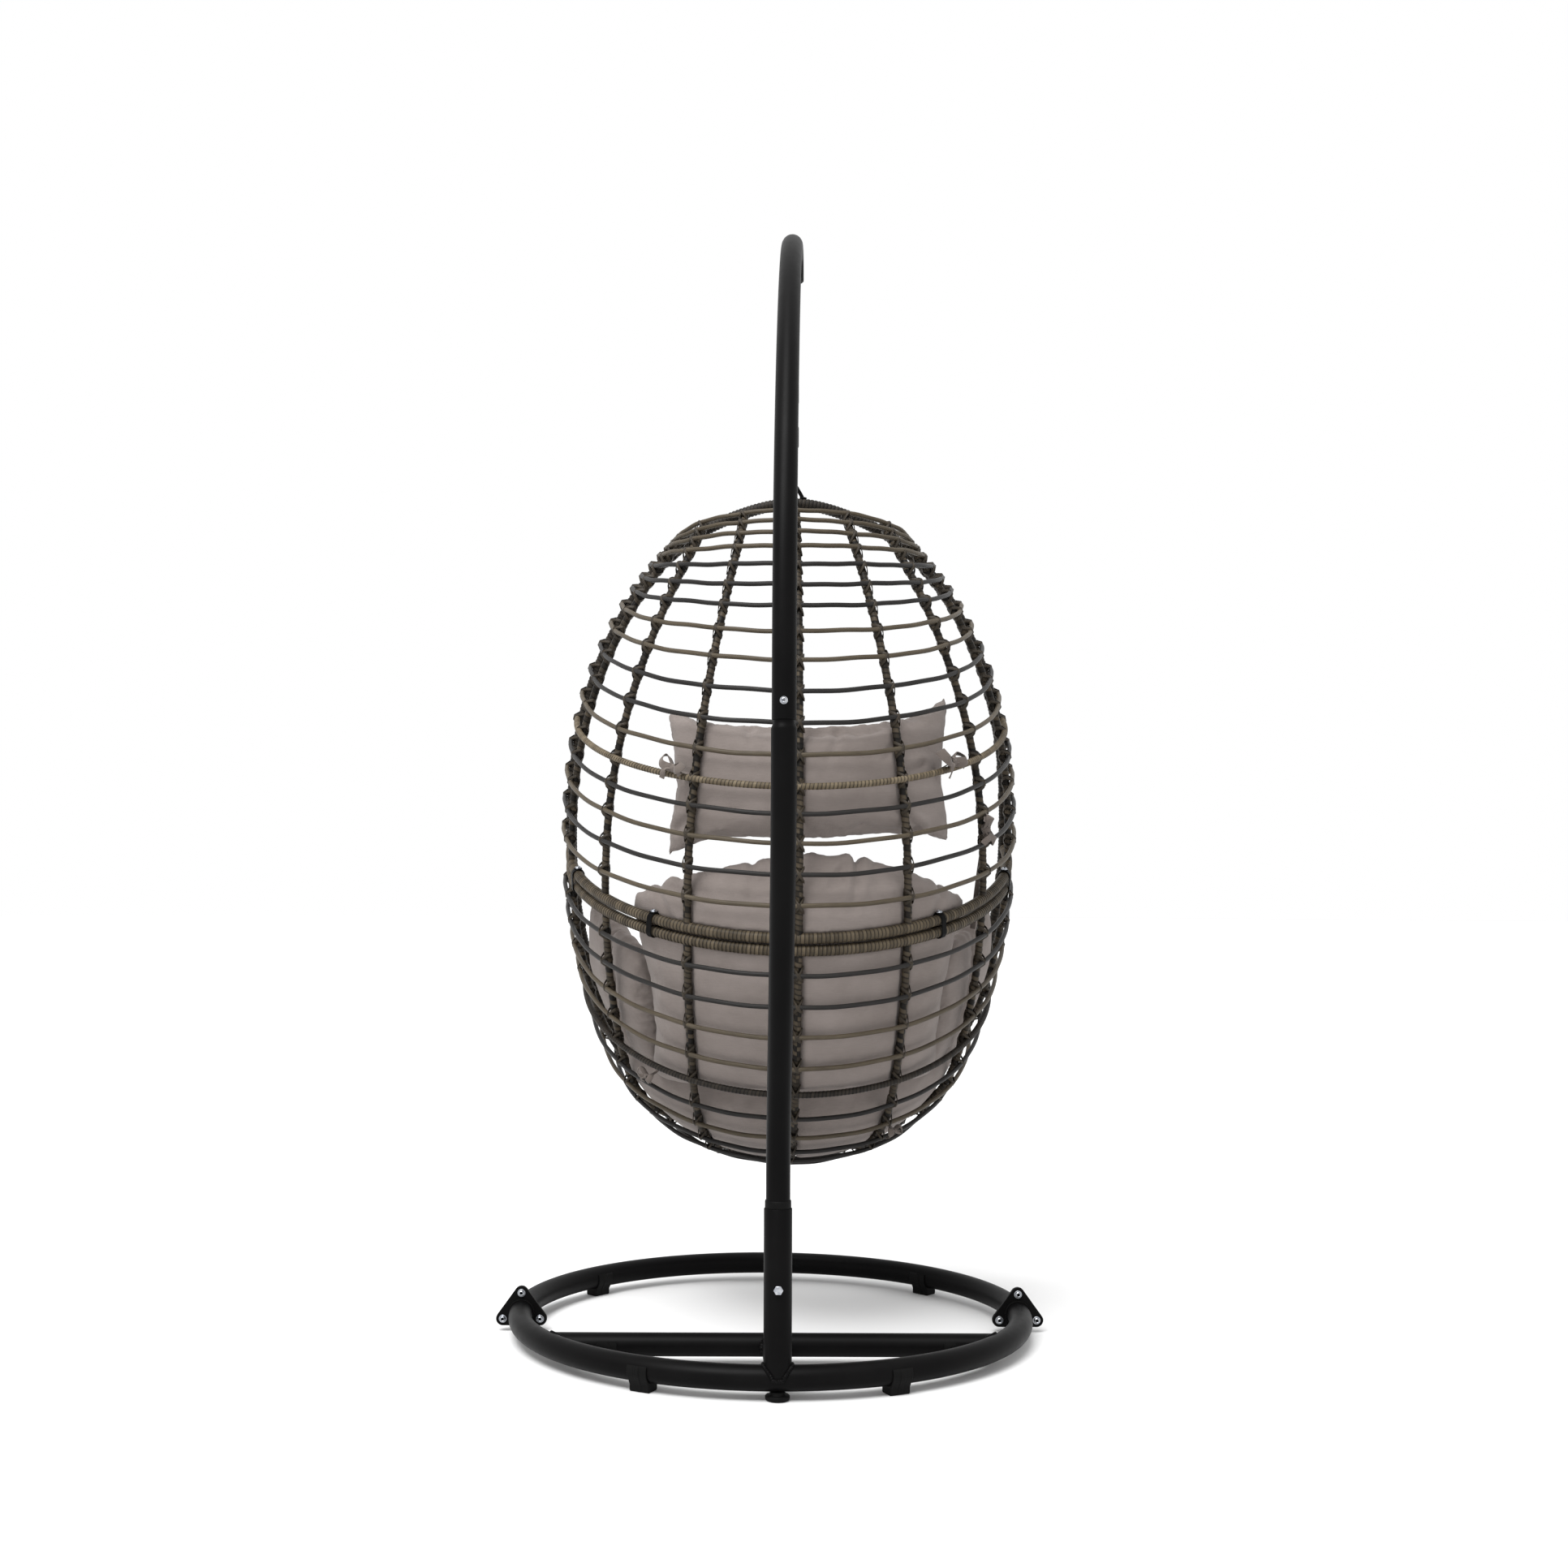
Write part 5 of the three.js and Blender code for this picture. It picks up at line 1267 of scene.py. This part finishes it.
class Pad:
    """A stuffed pad that lies against the basket.

    place(u, v) gives the place down the basket and the angle, with u and v from -1 to 1 between its seams.
    """

    def __init__(self, name, place, depth, thickness, voxel, cap, back_edge=8, front_edge=3, corner_hold=0.0):
        self.name, self.cap = name, cap
        columns, rows = 48, 48
        u, v = np.meshgrid(np.linspace(-1, 1, columns), np.linspace(-1, 1, rows))
        along, angle = place(u, v)
        middle, outward, _, _ = lining(along, angle)
        back = np.sqrt(np.maximum(0, (1 - np.abs(u) ** back_edge) * (1 - np.abs(v) ** back_edge)))
        front = np.sqrt(np.maximum(0, (1 - np.abs(u) ** front_edge) * (1 - np.abs(v) ** front_edge)))
        seam_depth = depth + SEAM_SHARE * thickness
        behind = seam_depth - SEAM_HALF - (SEAM_SHARE * thickness - SEAM_HALF) * back
        before = seam_depth + SEAM_HALF + ((1 - SEAM_SHARE) * thickness - SEAM_HALF) * front
        points = np.vstack([(middle - side[..., None] * outward).reshape(-1, 3) for side in (behind, before)])
        self.mesh = bpy.data.meshes.new(name)
        self.mesh.from_pydata(points.tolist(), [], pad_faces(rows, columns))
        self.piece = bpy.data.objects.new(name, self.mesh)
        bpy.context.scene.collection.objects.link(self.piece)
        remesh = self.piece.modifiers.new("remesh", "REMESH")
        remesh.mode = "VOXEL"
        remesh.voxel_size = voxel
        self.apply()
        edge = np.vstack([np.stack([u[i, j], v[i, j]]) for i, j in border(rows, columns)])
        seam_along, seam_angle = place(edge[:, 0], edge[:, 1])
        seam_middle, seam_outward, _, _ = lining(seam_along, seam_angle)
        self.seam = seam_middle - seam_depth * seam_outward
        self.corners = self.seam[[0, columns - 1, columns + rows - 2, 2 * columns + rows - 3]]
        self.corner_hold = corner_hold

    def apply(self):
        depsgraph = bpy.context.evaluated_depsgraph_get()
        done = bpy.data.meshes.new_from_object(self.piece.evaluated_get(depsgraph))
        self.piece.modifiers.clear()
        self.piece.data = done
        done.name = self.name

    def points(self):
        return read_points(self.piece.data)

    def add_cloth(self, pressure):
        self.start = self.points()
        cloth = self.piece.modifiers.new("cloth", "CLOTH")
        cloth.settings.quality = 5
        cloth.settings.mass = 0.3
        cloth.settings.tension_stiffness = 12
        cloth.settings.compression_stiffness = 12
        cloth.settings.bending_stiffness = 0.4
        cloth.settings.use_pressure = True
        cloth.settings.uniform_pressure_force = pressure
        cloth.settings.effector_weights.gravity = 0
        cloth.point_cache.frame_end = CLOTH_STEPS

    def settle(self):
        """Keeps the simulated swelling, within the pad's limit and less at held corners."""
        depsgraph = bpy.context.evaluated_depsgraph_get()
        moved = read_points(self.piece.evaluated_get(depsgraph).data) - self.start
        self.piece.modifiers.clear()
        length = np.linalg.norm(moved, axis=1, keepdims=True)
        moved *= np.minimum(1, self.cap / np.maximum(length, 1e-9))
        if self.corner_hold:
            near = np.linalg.norm(self.start[:, None, :] - self.corners[None], axis=2).min(axis=1)
            moved *= (1 - self.corner_hold * np.exp(-((near / 0.04) ** 2)))[:, None]
        write_points(self.piece.data, self.start + moved)

    def finish(self, folds=(), pucker=0.0018):
        """Smooths the mesh, presses it behind the ribs, and gives it its sewn puckers and folds."""
        subdivided = self.piece.modifiers.new("smooth", "SUBSURF")
        subdivided.levels = subdivided.render_levels = 1
        self.apply()
        mesh = self.piece.data
        mesh.polygons.foreach_set("use_smooth", np.ones(len(mesh.polygons), bool))
        points = self.points()
        normals = np.empty(len(points) * 3, np.float32)
        mesh.vertices.foreach_get("normal", normals)
        normals = normals.reshape(-1, 3)
        tree = KDTree(len(self.seam))
        for index, place in enumerate(self.seam):
            tree.insert(place, index)
        tree.balance()
        found = [tree.find(point)[1:] for point in points]
        marks = np.concatenate([[0], np.cumsum(np.linalg.norm(np.diff(self.seam, axis=0), axis=1))])
        along_seam = marks[[index for index, _ in found]]
        to_seam = np.array([distance for _, distance in found])
        rhythm = np.sin(along_seam * 290 + 2.2 * np.sin(along_seam * 41)) + 0.5 * np.sin(along_seam * 117 + 1)
        ruffle = pucker * rhythm * np.exp(-((to_seam / 0.03) ** 2))
        along, angle, depth, outward, spread = LINING.find(points)
        for fold_along, fold_angle, end_along, end_angle, fold_depth, width in folds:
            start = np.array([fold_along, fold_angle * METRES_PER_RADIAN])
            end = np.array([end_along, end_angle * METRES_PER_RADIAN])
            here = np.stack([along, angle * METRES_PER_RADIAN], 1)
            part = np.clip((here - start) @ (end - start) / ((end - start) ** 2).sum(), 0, 1)
            away = np.linalg.norm(here - start - part[:, None] * (end - start), axis=1)
            ruffle -= fold_depth * (1 - 0.8 * part) * np.exp(-((away / width) ** 2))
            ruffle += 0.45 * fold_depth * (1 - part) * np.exp(-(((away - 2.2 * width) / (1.2 * width)) ** 2))
        points = points + ruffle[:, None] * normals
        along, angle, depth, outward, spread = LINING.find(points)
        short = np.maximum(0, least_depth(along, angle, spread) - depth)
        short[depth > FRONT_DEPTH] = 0
        points = points - short[:, None] * outward
        write_points(mesh, points)
        mesh.materials.clear()
        mesh.materials.append(CUSHION_CLOTH)
        mesh.update()


def read_points(mesh):
    points = np.empty(len(mesh.vertices) * 3, np.float32)
    mesh.vertices.foreach_get("co", points)
    return points.reshape(-1, 3).astype(float)


def write_points(mesh, points):
    mesh.vertices.foreach_set("co", points.astype(np.float32).ravel())
    mesh.update()


def border(rows, columns):
    """The edge of a grid, once round."""
    path = [(0, j) for j in range(columns)] + [(i, columns - 1) for i in range(1, rows)]
    path += [(rows - 1, j) for j in range(columns - 2, -1, -1)] + [(i, 0) for i in range(rows - 2, 0, -1)]
    return path


def pad_faces(rows, columns):
    """Two grids, one behind the other, sewn together round the edge."""
    faces = []
    count = rows * columns
    for i in range(rows - 1):
        for j in range(columns - 1):
            a, d = i * columns + j, (i + 1) * columns + j
            b, c = a + 1, d + 1
            faces.append((a, d, c, b))
            faces.append((count + a, count + b, count + c, count + d))
    edge = [i * columns + j for i, j in border(rows, columns)]
    for a, b in zip(edge, edge[1:] + edge[:1]):
        faces.append((a, b, count + b, count + a))
    return faces


def between(low, high, t):
    return low + (high - low) * (t + 1) / 2


def back_along(z):
    """How far down the back's line a height below the apex is."""
    upper = BACK.marks < 1.2
    return float(np.interp(-z, -BACK.points[upper, 2], BACK.marks[upper]))


def back_panel(u, v):
    top = back_along(-0.622) + 0.119 * u**2 + 0.023 * np.abs(u) + 0.004 * np.sin(5 * u + 0.6)
    bottom = 1.300
    turn = math.radians(50) * u * (1 - 0.03 * np.cos(math.pi * v / 2)) - math.radians(1.5)
    return between(top, bottom, v), turn


def wing(sign, first, last, top, bottom):
    """A side pad from a first to a last angle, in degrees."""
    def place(u, v):
        lean = 0.030 * (1 - (u * sign)) / 2
        start = top + 0.020 * np.abs(u) ** 3 + lean
        angle = between(math.radians(first), math.radians(last), u * sign)
        return between(start, bottom, v), sign * angle
    return place


def seat_pad(u, v):
    start = 1.215 + 0.03 * u**2
    end = 1.690 - 0.02 * u**2
    return between(start, end, v), math.radians(76) * u


def pillow(u, v):
    top, bottom = (FIRST_SLAT + (LAST_SLAT - FIRST_SLAT) * part for part in (0.562, 0.899))
    middle, half = (top + bottom) / 2, (bottom - top) / 2
    pull = np.where(v < 0, 0.035, 0.215)
    along = middle + half * v * (1 - pull * (1 - np.abs(u) ** 3))
    half_width = level_down(along)[1][..., 0]
    along = along + np.abs(u) ** 3 * (0.0145 + 0.0053 * u)
    return along, np.arcsin((0.270 * u * (1 - 0.02 * (1 - v**2)) - 0.025) / half_width)


# Each pad's shape, its depth inside the slats, its thickness, its mesh size and how far it may swell.
PAD_SHAPES = {
    "seat_back": (back_panel, 0.022, 0.062, 0.011, 0.022),
    "seat_base": (seat_pad, 0.022, 0.110, 0.013, 0.024),
    "pillow": (pillow, 0.020, 0.062, 0.0085, 0.016, 4, 3, 0.5),
}
for side, sign in (("left", 1), ("right", -1)):
    PAD_SHAPES[f"inner_wing_{side}"] = (wing(sign, 46, 59, 0.985, 1.300), 0.024, 0.050, 0.009, 0.018)
    PAD_SHAPES[f"outer_wing_{side}"] = (wing(sign, 57, 76, 0.965, 1.290), 0.024, 0.055, 0.0095, 0.018)
PADS = {name: Pad(name, *shape) for name, shape in PAD_SHAPES.items()}

for pad in PADS.values():
    pad.add_cloth(4.0)
for step in range(1, CLOTH_STEPS + 1):
    bpy.context.scene.frame_set(step)
for pad in PADS.values():
    pad.settle()
bpy.context.scene.frame_set(1)

# A fold goes from one place and angle to another, with its depth and width.
TOP = back_along(-0.650)
PADS["seat_back"].finish([
    (TOP + 0.01, -0.28, TOP + 0.10, -0.22, 0.010, 0.007),
    (TOP + 0.02, -0.22, TOP + 0.07, -0.10, 0.006, 0.006),
    (TOP + 0.06, 0.70, TOP + 0.15, 0.52, 0.009, 0.008),
    (TOP + 0.05, 0.60, TOP + 0.11, 0.40, 0.006, 0.006),
    (TOP + 0.07, -0.72, TOP + 0.14, -0.60, 0.007, 0.007),
    (TOP + 0.01, 0.22, TOP + 0.08, 0.20, 0.005, 0.006),
], 0.0010)
PADS["seat_base"].finish(pucker=0.0012)
PADS["pillow"].finish([
    (0.55, 0.56, 0.62, 0.42, 0.006, 0.006), (0.55, -0.56, 0.63, -0.40, 0.006, 0.006),
    (0.76, 0.56, 0.70, 0.40, 0.006, 0.006), (0.76, -0.56, 0.69, -0.38, 0.007, 0.006),
    (0.57, -0.20, 0.63, -0.12, 0.004, 0.006), (0.57, 0.25, 0.62, 0.20, 0.004, 0.006),
    (0.66, 0.60, 0.66, 0.44, 0.004, 0.006), (0.65, -0.60, 0.66, -0.44, 0.004, 0.006),
], 0.0008)
for side in ("left", "right"):
    PADS[f"inner_wing_{side}"].finish(pucker=0.0014)
    PADS[f"outer_wing_{side}"].finish(pucker=0.0014)
for name, pad in PADS.items():
    replaced = {"seat_back": ["seat_cushion"], "pillow": ["head_pillow"]}
    place_piece(pad.piece, "basket", replaced.get(name, ()))

# ---------------------------------------------------------------- ties


def bow(name, place, outward, along, down, size=1.0, neck=None):
    """A tie of flat cloth: a knot, two soft loops and two tails, and a neck that runs to the cushion."""
    front = unit(outward + 0.35 * Z)
    patches = []
    turns = np.linspace(0, 2 * np.pi, 30, endpoint=False)[:, None]
    for sign in (1, -1):
        tilt = unit((0.8 + 0.15 * sign) * down + 0.6 * front)
        reach = size * (0.0245 + 0.003 * sign) * np.sin(turns / 2)
        swell = size * 0.0095 * np.sin(turns) * (1 + 0.3 * np.sin(turns / 2))
        centres = place + sign * reach * along + swell * tilt - (0.35 + 0.2 * sign) * reach * down
        centres = centres + size * 0.007 * np.sin(turns / 2) * front
        middle = place + sign * 0.014 * size * along
        patches.append(strap(centres, 0.0165 * size, 0.0018, centres - middle, closed=True))
        t = np.linspace(0, 1, 16)[:, None]
        drop = size * (0.019 + 0.006 * sign)
        tail = place + sign * size * (0.004 + 0.020 * t + 0.003 * np.sin(5 * t)) * along
        tail = tail + drop * t**1.3 * down + size * (0.003 + 0.008 * np.sin(3 * t)) * front
        facing = front + 0.6 * np.sin(4 * t + sign) * along
        patches.append(strap(tail, 0.0110 * size, 0.0014, facing))
    knot = place + size * (0.0068 * np.cos(turns) * down + 0.0062 * np.sin(turns) * front)
    patches.append(strap(knot, 0.0115 * size, 0.0024, knot - place, closed=True))
    if neck is not None:
        t = np.linspace(0, 1, 14)[:, None]
        route = place + t * (neck - place) + 0.004 * np.sin(math.pi * t) * down
        patches.append(strap(route, 0.0100 * size, 0.0016, down + 0.2 * front))
    build(name, patches, TIE_CLOTH, "basket", smooth_angle=70)


def tie_place(level_at, fraction, angle, outset):
    place, outward = surface(level_at, fraction, angle)
    beside, _ = surface(level_at, fraction, angle + 0.01)
    along = unit(beside - place)
    return place + outset * outward, outward, along, np.cross(outward, along)


def make_ties():
    band = UPPER_ROWS[UPPER_BAND]
    outset = SLAT_OUTSET + 0.0085
    for name, angle, size in (("left", 31.0, 0.85), ("right", -40.5, 1.05)):
        place, outward, along, down = tie_place(upper_level, band, math.radians(angle), outset)
        inside, inward = surface(upper_level, band, math.radians(angle * 0.86))
        bow(f"pillow_tie_{name}", place - 0.011 * down, outward, along, down, size, inside - 0.040 * inward)
    place, outward, along, down = tie_place(upper_level, 0.895, math.radians(-52), 0.012)
    inside, inward = surface(lower_level, 0.06, math.radians(-58))
    bow("wing_tie_right", place, outward, down, along, 1.0, inside - 0.030 * inward)
    for name, fraction, angle in (("left", 0.34, 41), ("right", 0.47, -31)):
        outset = SLAT_OUTSET + 0.007
        place, outward, along, down = tie_place(lower_level, fraction, math.radians(angle), outset)
        inside, inward = surface(lower_level, fraction, math.radians(angle))
        bow(f"base_tie_{name}", place, outward, along, down, 0.62, inside - 0.020 * inward)


make_ties()
